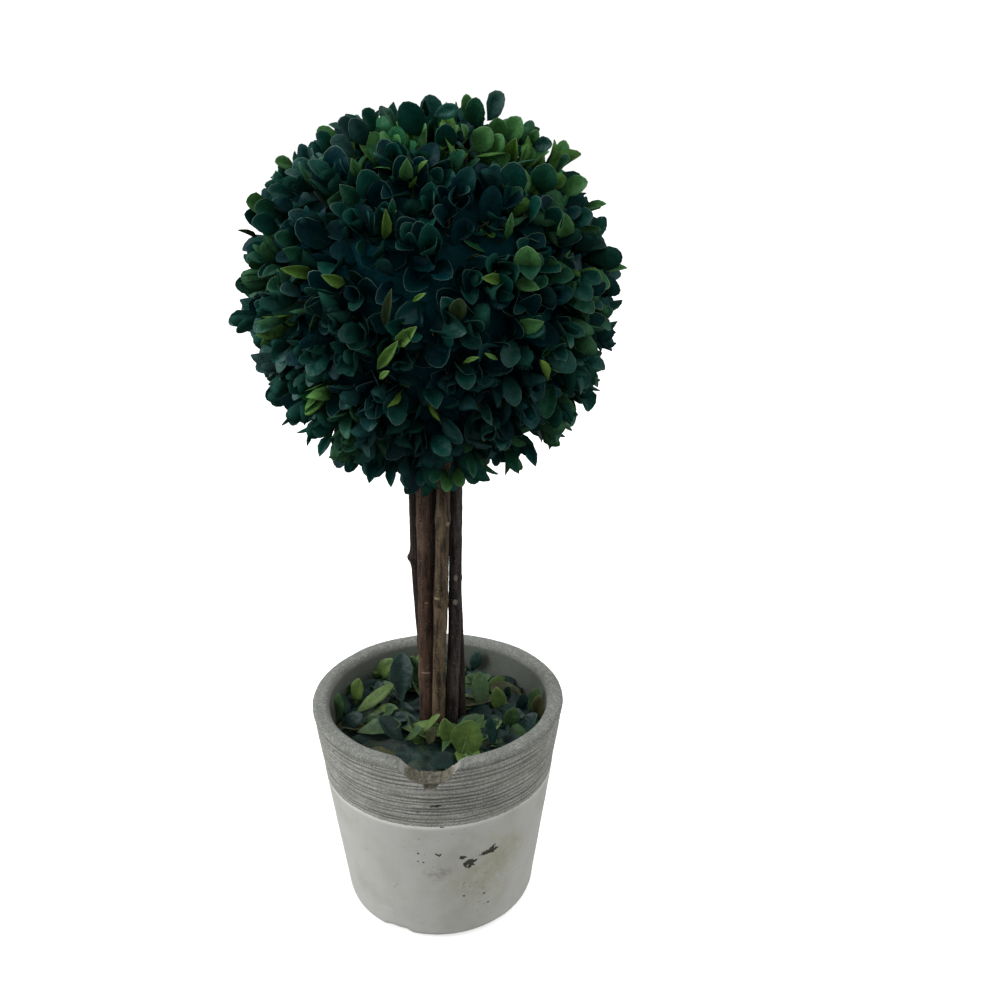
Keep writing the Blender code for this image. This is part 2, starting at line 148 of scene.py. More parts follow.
class Finish:
    """A material in the making: its Principled shader, with constants set on the shader's own sockets."""

    def __init__(self, name, **constants):
        self.material = bpy.data.materials.new(name)
        self.material.use_nodes = True
        self.nodes = self.material.node_tree.nodes
        self.links = self.material.node_tree.links
        self.shader = self.nodes["Principled BSDF"]
        for socket, value in constants.items():
            self.feed(self.shader, socket.replace("_", " "), value)

    def feed(self, node, socket, value):
        """Sets a socket to a value, or links a varying number or colour to it."""
        goal = node.inputs[socket]
        if isinstance(value, Varying):
            self.links.new(value.socket, goal)
        elif goal.type == "RGBA":
            goal.default_value = (*value, 1.0)
        else:
            goal.default_value = value

    def node(self, kind, settings=None, inputs=None, output=0):
        """A new node of a kind: its settings first, then its sockets. Gives one of its outputs."""
        made = self.nodes.new(kind)
        for setting, value in (settings or {}).items():
            setattr(made, setting, value)
        for socket, value in (inputs or {}).items():
            self.feed(made, socket, value)
        return Varying(self, made.outputs[output])

    def place(self):
        """The point on the piece, in metres, which is the same point in the frame."""
        return self.node("ShaderNodeTexCoord", output="Object")

    def measured(self, size, stretch):
        """The place on the piece in steps of a size, which is stretched along the axes."""
        scale = tuple(1.0 / (size * along) for along in stretch)
        return self.node("ShaderNodeMapping", {}, {"Vector": self.place(), "Scale": scale})

    def noise(self, size, detail=3.0, roughness=0.55, stretch=(1.0, 1.0, 1.0)):
        """Cloudy noise from 0 to 1 whose clouds are about as wide as the size, stretched along the axes."""
        sockets = {"Vector": self.measured(size, stretch), "Scale": 1.0}
        sockets.update({"Detail": detail, "Roughness": roughness})
        return self.node("ShaderNodeTexNoise", {}, sockets)

    def cells(self, size, stretch=(1.0, 1.0, 1.0)):
        """The distance, in cells, to the nearest of points scattered about a size apart."""
        sockets = {"Vector": self.measured(size, stretch), "Scale": 1.0}
        return self.node("ShaderNodeTexVoronoi", {}, sockets, "Distance")

    def between(self, value, low, high):
        """0 below one limit of a value and 1 above the other, with a smooth rise between them."""
        sockets = {"Value": value, "From Min": low, "From Max": high}
        return self.node("ShaderNodeMapRange", {"interpolation_type": "SMOOTHSTEP"}, sockets)

    def blend(self, share, first, second):
        """The first colour where the share is 0, and the second where it is 1."""
        sockets = {MIX_SHARE: share, MIX_FIRST: first, MIX_SECOND: second}
        return self.node("ShaderNodeMix", {"data_type": "RGBA"}, sockets, MIX_RESULT)

    def coats(self, colour, *layers):
        """A colour with coats laid over it in turn: each a share, and its colour as read off a screen."""
        for share, tint in layers:
            colour = self.blend(share, colour, seen(*tint))
        return colour

    def patch(self, centre, reach, turn=0.0, ragged=0.0, edge=0.12):
        """1 inside an ellipsoid round a place and 0 outside it. Its outline is frayed by noise.

        The middle and the half sizes are in millimetres, and the turn is in degrees about the Y axis.
        """
        sockets = {"Vector": self.place(), "Location": scaled(centre), "Scale": scaled(reach)}
        sockets["Rotation"] = (0.0, math.radians(turn), 0.0)
        inside = self.node("ShaderNodeMapping", {"vector_type": "TEXTURE"}, sockets)
        distance = self.node("ShaderNodeVectorMath", {"operation": "LENGTH"}, {0: inside}, "Value")
        if ragged:
            distance = distance + (self.noise(0.8 * min(scaled(reach)), 2.0) - 0.5) * ragged
        return 1.0 - self.between(distance, 1.0 - edge, 1.0 + edge)

    def attribute(self, name):
        """A number that the mesh keeps at each of its points."""
        return self.node("ShaderNodeAttribute", {"attribute_name": name}, {}, "Fac")

    def bump(self, height, depth, under=None):
        """A normal that follows a height of 0 to 1 as relief of a depth in metres, over an earlier normal."""
        sockets = {"Height": height, "Distance": depth, "Strength": 1.0}
        if under:
            sockets["Normal"] = under
        return self.node("ShaderNodeBump", {}, sockets)

    def done(self, **varying):
        """Links what varies to the shader's sockets and gives the material."""
        for socket, value in varying.items():
            self.feed(self.shader, socket.replace("_", " "), value)
        return self.material


# %% The floor, its lamp and the world
FLOOR_RADIUS, FLOOR_SIDES = 8.0, 64
FLOOR_TONES = (0.90,) * 3, (0.92,) * 3
SKY = (
    # How high up, from 0 straight down to 1 straight up, and how bright: dim below, a bright band, soft above.
    (0.46, 0.26),
    (0.475, 1.03),
    (0.60, 1.03),
    (0.70, 0.80),
)
FRONT_SHARE = 0.55

corners = FLOOR_RADIUS * np.exp(1j * np.linspace(0, 2 * np.pi, FLOOR_SIDES, endpoint=False))
floor_mesh = bpy.data.meshes.new("floor")
floor_mesh.from_pydata([(c.real, c.imag, 0.0) for c in corners], [], [list(range(len(corners)))])
floor = bpy.data.objects.new("floor", floor_mesh)
scene.collection.objects.link(floor)
floor.visible_diffuse = False
floor.visible_glossy = False
floor_finish = Finish("floor_white", Roughness=0.9)
floor_colour = floor_finish.blend(floor_finish.noise(0.5), *FLOOR_TONES)
floor_mesh.materials.append(floor_finish.done(Base_Color=floor_colour))

world = bpy.data.worlds.new("studio")
world.use_nodes = True
scene.world = world
sky = world.node_tree.nodes
direction = sky.new("ShaderNodeTexCoord")
split = sky.new("ShaderNodeSeparateXYZ")
strength = sky.new("ShaderNodeValToRGB")
stops = strength.color_ramp.elements
for position, _ in SKY[2:]:
    stops.new(position)
for stop, (position, light) in zip(stops, SKY):
    stop.position = position
    stop.color = (light, light, light, 1.0)
half = sky.new("ShaderNodeMath")
half.operation = "MULTIPLY_ADD"
half.inputs[1].default_value = half.inputs[2].default_value = 0.5
front_dim = sky.new("ShaderNodeMapRange")
for limit, value in (("From Min", -1.0), ("From Max", -0.2), ("To Min", FRONT_SHARE), ("To Max", 1.0)):
    front_dim.inputs[limit].default_value = value
for source, goal in (
    (direction.outputs["Generated"], split.inputs[0]),
    (split.outputs["Z"], half.inputs[0]),
    (half.outputs[0], strength.inputs[0]),
    (strength.outputs[0], sky["Background"].inputs["Color"]),
    (split.outputs["Y"], front_dim.inputs["Value"]),
    (front_dim.outputs[0], sky["Background"].inputs["Strength"]),
):
    world.node_tree.links.new(source, goal)


# %% The lamps
MIDDLE_OF_ALL = (0.0, 0.0, 0.2)


def add_lamp(name, kind, power, place, aim=MIDDLE_OF_ALL, **settings):
    """A lamp at a place, turned to point at its aim."""
    lamp = bpy.data.objects.new(name, bpy.data.lights.new(name, kind))
    lamp.data.energy = power
    for setting, value in settings.items():
        setattr(lamp.data, setting, value)
    scene.collection.objects.link(lamp)
    away = (Matrix.Translation(place).translation - Matrix.Translation(aim).translation).normalized()
    lamp.matrix_world = Matrix.Translation(place) @ away.to_track_quat("Z", "Y").to_matrix().to_4x4()
    return lamp


key = add_lamp("key_softbox", "AREA", 9.8, (-1.10, -0.35, 0.95), shape="DISK", size=0.8)
fill = add_lamp("fill_softbox", "AREA", 1.0, (0.9, -0.4, 0.7), shape="DISK", size=1.0)
floor_lamp = add_lamp("floor_lamp", "SUN", 2.6, (0.0, 0.0, 3.0), angle=math.radians(60))
only_floor = bpy.data.collections.new("only_the_floor")
only_floor.objects.link(floor)
floor_lamp.light_linking.receiver_collection = only_floor
floor_lamp.light_linking.blocker_collection = only_floor
print("lamps", [lamp.name for lamp in (key, fill, floor_lamp)])

# %% [markdown]
# ## Shapes from arrays
# Each new surface is a grid of points, worked out as whole arrays, with a fan of triangles that closes each
# end. Unevenness comes from noise in space, so that it has no seam where a surface closes on itself.


# %% Noise for shapes
def lattice_number(corner, seed):
    """A number from 0 to 1 that belongs to a corner of a cubic lattice: the fraction of a large sine."""
    mixed = corner @ np.array([12.9898, 78.233, 37.719]) + 4.137 * seed
    return np.abs(np.modf(np.sin(mixed) * 43758.5453)[0])


def smooth(share):
    """s * s * (3 - 2 * s), which goes from 0 to 1 and is level at both ends."""
    return share * share * (3.0 - 2.0 * share)


def noise(points, size, seed):
    """Smooth noise from -1 to 1: the numbers at a cell's eight corners, blended by smooth shares."""
    place = points / size
    cell = np.floor(place)
    share = smooth(place - cell)
    total = np.zeros(place.shape[:-1])
    for corner in np.ndindex(2, 2, 2):
        weight = np.prod(np.where(np.array(corner) == 1, share, 1.0 - share), axis=-1)
        total += weight * lattice_number(cell + corner, seed)
    return 2.0 * total - 1.0


def ramp(value, low, high):
    """0 below one limit and 1 above the other, with a smooth rise between them. The limits may fall."""
    return smooth(np.clip((value - low) / (high - low), 0.0, 1.0))


def unit(vectors):
    """Each vector divided by its length."""
    return vectors / np.linalg.norm(vectors, axis=-1, keepdims=True)


def together(*parts):
    """Numbers side by side as the last axis of one array, each stretched to the others' shape."""
    return np.stack(np.broadcast_arrays(*parts), axis=-1)


def polar(radius, angle, height):
    """Points round Z: the radius times the cosine, the radius times the sine, and the height."""
    return together(radius * np.cos(angle), radius * np.sin(angle), height)


def apart(angle, other):
    """How far apart two angles are the short way round, from 0 to pi."""
    return np.abs((angle - other + np.pi) % (2 * np.pi) - np.pi)


def round_turn(steps):
    """Angles spread evenly over a whole turn."""
    return np.linspace(0, 2 * np.pi, steps, endpoint=False)


# %% From a grid to a closed mesh
def closed_grid(rings, first, last):
    """Points and faces of a closed surface: rings of points from end to end, and a point at each end.

    Quads join each ring to the next, and triangles join the end rings to the end points. The faces point
    outwards where each ring turns anticlockwise round the way from the first ring to the last.
    """
    rows, columns = rings.shape[:2]
    ring = np.arange(columns)
    after = (ring + 1) % columns
    start = columns * np.arange(rows - 1)[:, None]
    quads = together(start + ring, start + after, start + columns + after, start + columns + ring)
    top = columns * (rows - 1)
    end = rows * columns
    fans = np.concatenate([together(after, ring, end), together(top + ring, top + after, end + 1)])
    points = np.concatenate([rings.reshape(-1, 3), [first, last]])
    return points, [quads.reshape(-1, 4), fans]


def joined(copies, faces):
    """The points of many copies in one list, and their faces, with each copy's numbers moved on."""
    starts = copies.shape[1] * np.arange(len(copies))[:, None, None]
    return copies.reshape(-1, 3), [(group[None] + starts).reshape(-1, group.shape[1]) for group in faces]


def make_piece(name, shape, finishes, stands_for, kinds=None, numbers=None):
    """A mesh piece of points and faces that rides with the object and stands for a solid.

    Kinds gives the number of each face's finish, and numbers the named values that each point keeps.
    """
    points, faces = shape
    mesh = bpy.data.meshes.new(name)
    mesh.from_pydata(points.tolist(), [], [face for group in faces for face in group.tolist()])
    for finish in finishes:
        mesh.materials.append(finish)
    if kinds is not None:
        mesh.polygons.foreach_set("material_index", np.ascontiguousarray(kinds, np.int32))
    for label, values in (numbers or {}).items():
        layer = mesh.attributes.new(label, "FLOAT", "POINT")
        layer.data.foreach_set("value", np.ascontiguousarray(values, np.float32))
    mesh.shade_smooth()
    mesh.update()
    piece = bpy.data.objects.new(name, mesh)
    scene.collection.objects.link(piece)
    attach(piece, "root")
    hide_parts(*stands_for)
    triangles = sum(len(group) * (group.shape[1] - 2) for group in faces)
    print(f"{name}: {triangles} triangles, from {points.min(0).round(4)} to {points.max(0).round(4)}")


# %% [markdown]
# ## The pot
# The pot is one casting of grey concrete. A comb has drawn fifteen uneven grooves round the band under the
# rim, and everything below the band is painted white. A piece has broken out of the front of the rim.
#
# The pot is a profile turned about Z, so its surface is a grid over the angle and the way along the profile.
# The grooves are taken off the radius there, and the columns are closer together round the chip.

# %% The pot's sizes
_, pot_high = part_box("pot")
POT_HEIGHT = pot_high.z
POT_TOP_RADIUS = pot_high.x
POT_BASE_RADIUS = 0.046
POT_WALL = 0.0075
POT_FLOOR = 0.010
RIM_ROUNDING = 0.0035
OUTER_ROUNDING = 0.0022
BASE_ROUNDING = 0.005
BAND_FOOT = 0.0723
BAND_HEAD = 0.1062
PAINT_THICKNESS = 0.00025
INMOST_RING = 0.006


def outer_radius(height):
    """The outer wall's radius at a height: an even taper from base to rim."""
    return POT_BASE_RADIUS + (POT_TOP_RADIUS - POT_BASE_RADIUS) * height / POT_HEIGHT


def inner_radius(height):
    """The inner wall's radius: the outer one less the wall."""
    return outer_radius(height) - POT_WALL


def arc(radius, height, rounding, start, end, steps):
    """Points on an arc of the profile round (radius, height), between two angles in degrees."""
    angle = np.radians(np.linspace(start, end, steps))
    return together(radius + rounding * np.cos(angle), height + rounding * np.sin(angle))


def run(radius_at, low, high, steps):
    """Points on a straight run of the profile, whose radius follows the height."""
    height = np.linspace(low, high, steps)
    return together(radius_at(height), height)


# %% The pot's profile
foot = outer_radius(BASE_ROUNDING) - BASE_ROUNDING
rim_low = POT_HEIGHT - RIM_ROUNDING
edge_low = POT_HEIGHT - OUTER_ROUNDING
rim_inner = inner_radius(rim_low)
flat_top = np.linspace(POT_TOP_RADIUS - OUTER_ROUNDING, rim_inner + RIM_ROUNDING, 6)[1:-1]
underside = np.linspace(INMOST_RING, foot, 5)[:-1]
pot_floor = np.linspace(inner_radius(POT_FLOOR) - 0.004, INMOST_RING, 4)
profile = np.concatenate(
    [
        together(underside, 0.0),
        arc(foot, BASE_ROUNDING, BASE_ROUNDING, -90, 0, 8),
        run(outer_radius, BASE_ROUNDING + 0.002, BAND_FOOT - 0.0001, 30),
        run(outer_radius, BAND_FOOT + 0.00005, edge_low, 127),
        arc(POT_TOP_RADIUS - OUTER_ROUNDING, edge_low, OUTER_ROUNDING, 8, 90, 10),
        together(flat_top, POT_HEIGHT),
        arc(rim_inner + RIM_ROUNDING, rim_low, RIM_ROUNDING, 90, 180, 11),
        run(inner_radius, rim_low - 0.0006, 0.084, 32),
        run(inner_radius, 0.078, POT_FLOOR + 0.004, 8),
        together(pot_floor, POT_FLOOR),
    ]
)
crest = int(np.argmax(profile[:, 1]))
CHIP_MIDDLE = math.radians(-91)
CHIP_SIDE = math.radians(21)
near_chip = np.linspace(CHIP_MIDDLE - CHIP_SIDE, CHIP_MIDDLE + CHIP_SIDE, 103)
elsewhere = np.linspace(CHIP_MIDDLE + CHIP_SIDE, CHIP_MIDDLE - CHIP_SIDE + 2 * np.pi, 254)[1:-1]
pot_angle = np.concatenate([near_chip, elsewhere])
print("pot grid", len(profile), "by", len(pot_angle))

# %% [markdown]
# The break runs down from the rim in a wide V with a level bottom. It is wider at the inner face of the wall
# than at the outer one, so each face has an edge of its own. In each column of the grid, the rows that would
# stand above the two edges are spread over the break instead, from the outer edge to the inner one, and
# roughened. So the break is part of the same closed surface, and its edges are as sharp as the real ones.

# %% The edges of the break, as (across the front, height) in millimetres
CHIP_OUTER = (
    (-15.2, 107.1), (-13.6, 105.0), (-12.2, 102.5), (-8.8, 99.3), (-6.4, 98.2), (-4.4, 97.5),
    (3.3, 97.5), (6.2, 98.4), (8.0, 99.6), (9.5, 101.6), (12.0, 105.4), (14.2, 107.1),
)
CHIP_INNER = (
    (-18.4, 107.1), (-16.4, 106.3), (-13.6, 104.6), (-11.5, 102.2), (-8.9, 99.9), (-5.0, 98.7),
    (5.0, 98.5), (8.1, 100.6), (11.1, 102.5), (12.9, 104.4), (16.4, 107.1),
)
BREAK_ROUGHNESS = 0.00055


def broken_height(angle, radius, edge):
    """The height of a broken edge at each angle, on the wall's face of a radius. Elsewhere it is the rim's."""
    across = 1000 * radius * np.cos(angle)
    height = np.interp(across, *np.transpose(edge)) / 1000
    beside = together(across, 0.0, 0.0)
    ragged = noise(beside, 1.3, 5) + 0.5 * noise(beside, 0.55, 6)
    chipped = (np.sin(angle) < 0) & (height < POT_HEIGHT)
    return np.where(chipped, np.minimum(height + 0.00022 * ragged, POT_HEIGHT), POT_HEIGHT)


def spread_over_break(radius, height, angle):
    """Rows above the broken edges, moved onto the break. Also gives 1 for each point on the break."""
    rows = np.arange(len(profile), dtype=float)
    outer_edge = broken_height(angle, POT_TOP_RADIUS, CHIP_OUTER)
    inner_edge = broken_height(angle, inner_radius(POT_HEIGHT), CHIP_INNER)
    up = slice(len(underside), crest + 1)
    down = slice(crest, len(profile))
    outer_row = np.interp(outer_edge, profile[up, 1], rows[up])
    inner_row = np.interp(inner_edge, profile[down, 1][::-1], rows[down][::-1])
    share = (rows[:, None] - outer_row) / np.maximum(inner_row - outer_row, 1.0)
    broken = (share > 0) & (share < 1) & (np.minimum(outer_edge, inner_edge) < 0.999 * POT_HEIGHT)
    edge = outer_edge + (inner_edge - outer_edge) * np.clip(share, 0, 1)
    outer = np.interp(outer_row, rows, profile[:, 0])
    inner = np.interp(inner_row, rows, profile[:, 0])
    across = outer + (inner - outer) * share
    rough_at = polar(across, angle, edge)
    rough = noise(rough_at, 0.0017, 7) + 0.7 * noise(rough_at, 0.0008, 8) + 0.35 * noise(rough_at, 0.0004, 9)
    bowl = -0.0009 * np.sin(np.pi * np.clip(share, 0, 1)) * ramp(edge, POT_HEIGHT, POT_HEIGHT - 0.004)
    tall = edge + bowl + BREAK_ROUGHNESS * rough * np.clip(6 * share * (1 - share), 0.25, 1)
    return np.where(broken, across, radius), np.where(broken, tall, height), broken.astype(float)


# %% [markdown]
# Each groove is a dip round the pot, narrow and rounded. Its height wavers, and its depth fades in and out.
# Fine lines from the comb's teeth lie between them.

# %% The combed band
GROOVES = 15
draw = np.random.default_rng(11)
groove_steps = draw.uniform(0.80, 1.25, GROOVES + 1)
groove_heights = BAND_FOOT + (BAND_HEAD - BAND_FOOT) * np.cumsum(groove_steps)[:-1] / groove_steps.sum()
groove_widths = draw.uniform(0.00036, 0.00064, GROOVES)
groove_depths = draw.uniform(0.00050, 0.00088, GROOVES)


def band_relief(angle, height):
    """How deep the comb cut at each point: the deepest groove there, and fine lines between grooves."""
    circle = polar(1.0, angle, 0.0)
    depth = np.zeros(np.broadcast(angle, height).shape)
    for i, (middle, width, deep) in enumerate(zip(groove_heights, groove_widths, groove_depths)):
        waver = 0.00075 * noise(circle, 0.6, 20 + i) + 0.00018 * noise(circle, 0.12, 40 + i)
        fade = np.clip(0.80 + 0.7 * noise(circle, 0.3, 60 + i), 0.20, 1.0)
        dip = np.exp(-(((height - middle - waver) / width) ** 2))
        depth = np.maximum(depth, deep * fade * dip)
    stretched = polar(4.0, angle, 1800 * height)
    fine = 0.00013 * noise(stretched, 1.0, 81) + 0.00007 * noise(stretched, 0.45, 82)
    low = ramp(height, BAND_FOOT + 0.0002, BAND_FOOT + 0.0009)
    return low * ramp(height, BAND_HEAD + 0.0006, BAND_HEAD - 0.0004) * (depth + fine)


# %% The pot's surface
SPALL_MIDDLE, SPALL_TOP, SPALL_FOOT = 0.0003, 0.0986, 0.0940
SLIT_MIDDLE, SLIT_HEIGHT = 0.0021, 0.0843
WORN_MIDDLE, WORN_SIDE = math.radians(-113 + 360), math.radians(10)

angle = pot_angle[None, :]
radius, height, _ = np.broadcast_arrays(profile[:, :1], profile[:, 1:], angle)
outside = (np.arange(len(profile)) < crest)[:, None]
walls = (profile[:, 1] > 0.5 * BASE_ROUNDING)[:, None]
cast = polar(radius, angle, height)
groove = np.where(outside, band_relief(angle, profile[:, 1:]), 0.0)
radius = radius - groove + np.where(outside & (height < BAND_FOOT) & walls, PAINT_THICKNESS, 0.0)
radius = radius + walls * (0.00016 * noise(cast, 0.011, 91) + 0.00006 * noise(cast, 0.0035, 92))
on_rim = ramp(height, POT_HEIGHT - 0.004, POT_HEIGHT - 0.001)
dents = ramp(noise(cast, 0.0016, 94), 0.45, 0.8)
height = height + on_rim * (0.00025 * noise(cast, 0.012, 93) - 0.00016 * dents)
radius, height, broken = spread_over_break(radius, height, angle)

across = radius * np.cos(angle)
front = np.sin(angle) < 0
narrowing = 0.0044 * (1 - 0.45 * (SPALL_TOP - height) / (SPALL_TOP - SPALL_FOOT))
frayed = 0.0005 * noise(cast, 0.0009, 95)
spall = ramp(np.abs(across - SPALL_MIDDLE) + frayed, narrowing + 0.0003, narrowing - 0.0003)
spall = spall * ramp(height + frayed, SPALL_FOOT - 0.0002, SPALL_FOOT + 0.0004) * (front & outside)
slit = ramp(np.hypot((across - SLIT_MIDDLE) / 0.0025, (height - SLIT_HEIGHT + frayed) / 0.00045), 1.25, 0.7)
slit = slit * (front & outside)
radius = radius - (1 - broken) * (0.0011 * spall * (1 + 0.35 * noise(cast, 0.0008, 96)) + 0.0008 * slit)
worn = ramp(apart(angle, WORN_MIDDLE), WORN_SIDE, 0.4 * WORN_SIDE) * ramp(height, 0.0060, 0.0010) * outside
radius = radius - 0.0010 * worn * (1 + 0.5 * noise(cast, 0.003, 97))
height = height + 0.0009 * worn * ramp(radius, foot - 0.004, foot)
pot_shape = closed_grid(polar(radius, angle, height), (0.0, 0.0, 0.0), (0.0, 0.0, POT_FLOOR))
# Painted shade on the inner wall: none at the rim, full from 4 mm below it.
inner_wall_shade = (np.arange(len(profile)) > crest)[:, None] * ramp(profile[:, 1:], POT_HEIGHT, POT_HEIGHT - 0.004)
coarse = np.maximum(broken, spall) * (0.30 + 0.70 * ramp(height, 0.1022, 0.0998))
pot_numbers = {
    "broken": np.append(coarse.ravel(), [0, 0]),
    # Groove depth, and the slit: they set the painted shade of the grooves.
    "groove": np.append((groove / 0.0006 + 3 * slit).ravel(), [0, 0]),
    "inner_wall_shade": np.append(((1 - broken) * inner_wall_shade).ravel(), [1, 1]),
}

# %% [markdown]
# ### The pot's finish
# Cast concrete is never one grey: it is cloudy, speckled with sand and pitted with air holes. Painted shade
# darkens the grooves, so the ridges between them look paler, and darkens the inner wall below the rim. The
# paint is thin and chalky, with stains and a few flakes missing, and a painted highlight runs as a thin pale
# line just under its edge.
# The break shows the coarser, browner stone inside. Stains and flakes have places, so each is a patch there.

# %% Concrete, paint and the break
FLAKES = (
    # Middle of the flake in millimetres, its half sizes, and its turn in degrees about the line of sight.
    ((13.4, -51.1, 52.2), (1.6, 2.4, 1.1), 0),
    ((15.9, -49.8, 48.5), (2.6, 2.6, 1.5), -30),
    ((18.0, -49.1, 48.4), (2.3, 2.2, 0.7), -24),
    ((16.5, -49.4, 46.2), (0.8, 2.2, 1.9), 28),
    ((14.4, -50.2, 47.0), (0.6, 2.2, 1.7), -20),
    ((17.6, -49.2, 46.9), (0.6, 2.2, 1.5), -48),
    ((25.1, -46.4, 51.8), (4.8, 4.4, 1.2), -5),
    ((26.0, -46.1, 52.9), (3.2, 3.6, 0.9), -47),
    ((26.6, -45.8, 51.6), (0.7, 2.6, 1.8), -25),
    ((2.0, -53.2, 55.5), (1.2, 1.8, 0.45), 40),
    ((3.3, -53.1, 55.2), (1.0, 1.8, 0.40), -60),
    ((-6.6, -53.0, 56.0), (0.5, 1.5, 0.5), 0),
    ((-6.8, -52.3, 51.0), (0.45, 1.5, 0.4), 0),
    ((-4.3, -52.5, 50.6), (0.5, 1.5, 0.4), 0),
    ((13.6, -47.7, 27.3), (0.6, 1.5, 0.5), 0),
    ((22.9, -43.8, 25.5), (0.5, 1.5, 0.5), 0),
    ((24.7, -41.7, 18.3), (0.5, 1.5, 0.45), 0),
    ((4.5, -55.3, 72.4), (1.1, 2.0, 0.5), 0),
)
STAINS = (
    # Middle in millimetres, half sizes, and how strong the stain is.
    ((26.5, -44.4, 43.9), (11.0, 9.0, 9.0), 0.26),
    ((18.0, -46.4, 38.5), (13.0, 8.0, 8.5), 0.26),
    ((34.0, -40.2, 49.0), (8.0, 9.0, 10.0), 0.24),
    ((23.0, -43.5, 42.0), (24.0, 16.0, 20.0), 0.26),
    ((24.0, -43.0, 22.0), (15.0, 10.0, 12.0), 0.18),
)


def holes(finish, size, edge, spread, limits):
    """1 in small round holes and 0 round them, in the places where a wider noise is within its limits."""
    hollow = 1.0 - finish.between(finish.cells(size), *edge)
    return hollow * finish.between(finish.noise(spread, 2.0), *limits)


def pot_finish():
    """The pot's one finish: concrete above the paint's edge, paint below it, stone in the break."""
    pot = Finish("cast_concrete_and_paint", Specular_IOR_Level=0.35)
    height = pot.node("ShaderNodeSeparateXYZ", {}, {0: pot.place()}, "Z")
    cloud = pot.noise(0.012, 4.0)
    smear = pot.noise(0.010, 4.0, stretch=(1.6, 1.6, 0.16))
    sand = pot.noise(0.0007, 2.0)
    groove = pot.attribute("groove")
    on_rim = pot.between(height, POT_HEIGHT - 0.0028, POT_HEIGHT - 0.0008)
    mottle = pot.between(pot.noise(0.0020, 4.0, 0.7), 0.46, 0.64)
    pits = holes(pot, 0.0044, (0.06, 0.11), 0.011, (0.44, 0.56))
    salt = pot.between(pot.noise(0.0011, 2.0), 0.66, 0.74)
    concrete = pot.coats(
        pot.blend(pot.between(cloud, 0.3, 0.72), seen(160, 160, 153), seen(184, 185, 178)),
        (pot.between(smear, 0.5, 0.72) * 0.4, (204, 205, 200)),
        (on_rim * 0.75, (118, 122, 116)),
        (mottle * (0.10 + 0.22 * on_rim), (190, 194, 188)),
        (pot.between(sand, 0.44, 0.64) * (0.58 + 0.12 * on_rim), (100, 101, 96)),
        (pits * 0.75, (76, 76, 72)),
        (salt * 0.35, (200, 202, 198)),
        # Painted shade in the grooves, by their depth; the slit, which shares these numbers, is darker still.
        (pot.between(groove, 0.15, 0.95) * 0.60, (82, 81, 78)),
        (pot.between(groove, 2.0, 2.8), (50, 49, 46)),
        # Painted shade on the inner wall below the rim.
        (pot.attribute("inner_wall_shade") * 0.85, (80, 87, 79)),
    )

    dirt = pot.noise(0.017, 5.0, 0.6)
    brushed = pot.noise(0.006, 3.0, stretch=(1.0, 1.0, 2.5))
    stains = []
    for middle, reach, strong in STAINS:
        stain = pot.patch(middle, reach, ragged=0.9, edge=0.55) * strong
        stains.append((stain * pot.between(pot.noise(0.005, 4.0), 0.15, 0.70), (168, 166, 124)))
    smudge = pot.patch((1.8, -51.7, 44.0), (5.2, 4.0, 3.6), ragged=1.3, edge=0.7)
    speckled = pot.patch((19.5, -46.5, 33.5), (13.0, 9.0, 7.5), ragged=0.8, edge=0.6)
    pinholes = holes(pot, 0.0042, (0.05, 0.09), 0.008, (0.42, 0.55))
    # Painted highlight: a thin pale line just under the paint's edge, where its step would catch the light.
    lip_highlight = pot.between(height, BAND_FOOT - 0.0011, BAND_FOOT - 0.0005)
    scratch = pot.patch((-23.6, -41.5, 14.4), (5.2, 4.0, 0.4), -8, edge=0.4)
    paint = pot.coats(
        pot.blend(pot.between(dirt, 0.42, 0.75), seen(212, 213, 207), seen(198, 199, 190)),
        (pot.between(brushed, 0.52, 0.8) * 0.4, (203, 204, 202)),
        *stains,
        (smudge * 0.6 * pot.between(pot.noise(0.0024, 3.0), 0.34, 0.66), (140, 134, 122)),
        (speckled * pot.between(pot.noise(0.0013, 2.0), 0.60, 0.68) * 0.6, (122, 118, 100)),
        (pinholes * 0.5, (132, 132, 124)),
        (lip_highlight * pot.between(pot.noise(0.02, 2.0), 0.30, 0.55) * 0.4, (230, 231, 227)),
        (scratch * 0.6, (228, 229, 226)),
    )
    flakes = 0.0
    for middle, reach, turn in FLAKES:
        flakes = pot.patch(middle, reach, turn, ragged=1.5, edge=0.10).most(flakes)
    bare = pot.blend(pot.between(sand, 0.4, 0.6), seen(58, 60, 50), seen(86, 86, 74))
    paint = pot.blend(flakes, paint, bare)

    wavering = height + (pot.noise(0.003, 2.0) - 0.5) * 0.0006
    above = pot.between(wavering, BAND_FOOT - 0.0001, BAND_FOOT + 0.0001)
    colour = pot.blend(above, paint, concrete)
    broken = pot.attribute("broken")
    grit = pot.noise(0.0011, 4.0, 0.65)
    stone = pot.blend(pot.between(grit, 0.32, 0.68), seen(86, 83, 72), seen(134, 130, 115))
    colour = pot.blend(pot.between(broken, 0.2, 0.8), colour, stone)

    relief = pot.bump(sand, 0.00012)
    relief = pot.bump(pits * -1.0, 0.0004, relief)
    relief = pot.bump((1.0 - above) * (1.0 - flakes), 0.00018, relief)
    relief = pot.bump(broken * grit, 0.0006, relief)
    return pot.done(Base_Color=colour, Roughness=0.78 + 0.16 * cloud, Normal=relief)


make_piece("pot_casting", pot_shape, [pot_finish()], ["pot"], numbers=pot_numbers)

# %% [markdown]
# ## The sticks
# Six straight sticks with their bark on carry the ball. Each leans a little, has one slight crook and a knot or
# two, and they cross close to each other. A stick is a ring of points carried up along its middle line. The
# radius there is uneven: long ridges run up the bark, which is slightly out of round, and knots stand out.

# %% Where the sticks run, as in the solids
STICK_FOOT, STICK_HEAD = 0.046, 0.262
STICK_LOW, STICK_HIGH = 0.100, 0.211
STICK_BEND = 0.010
STICK_TAPER = 0.94
KNOT_REACH = 0.0035

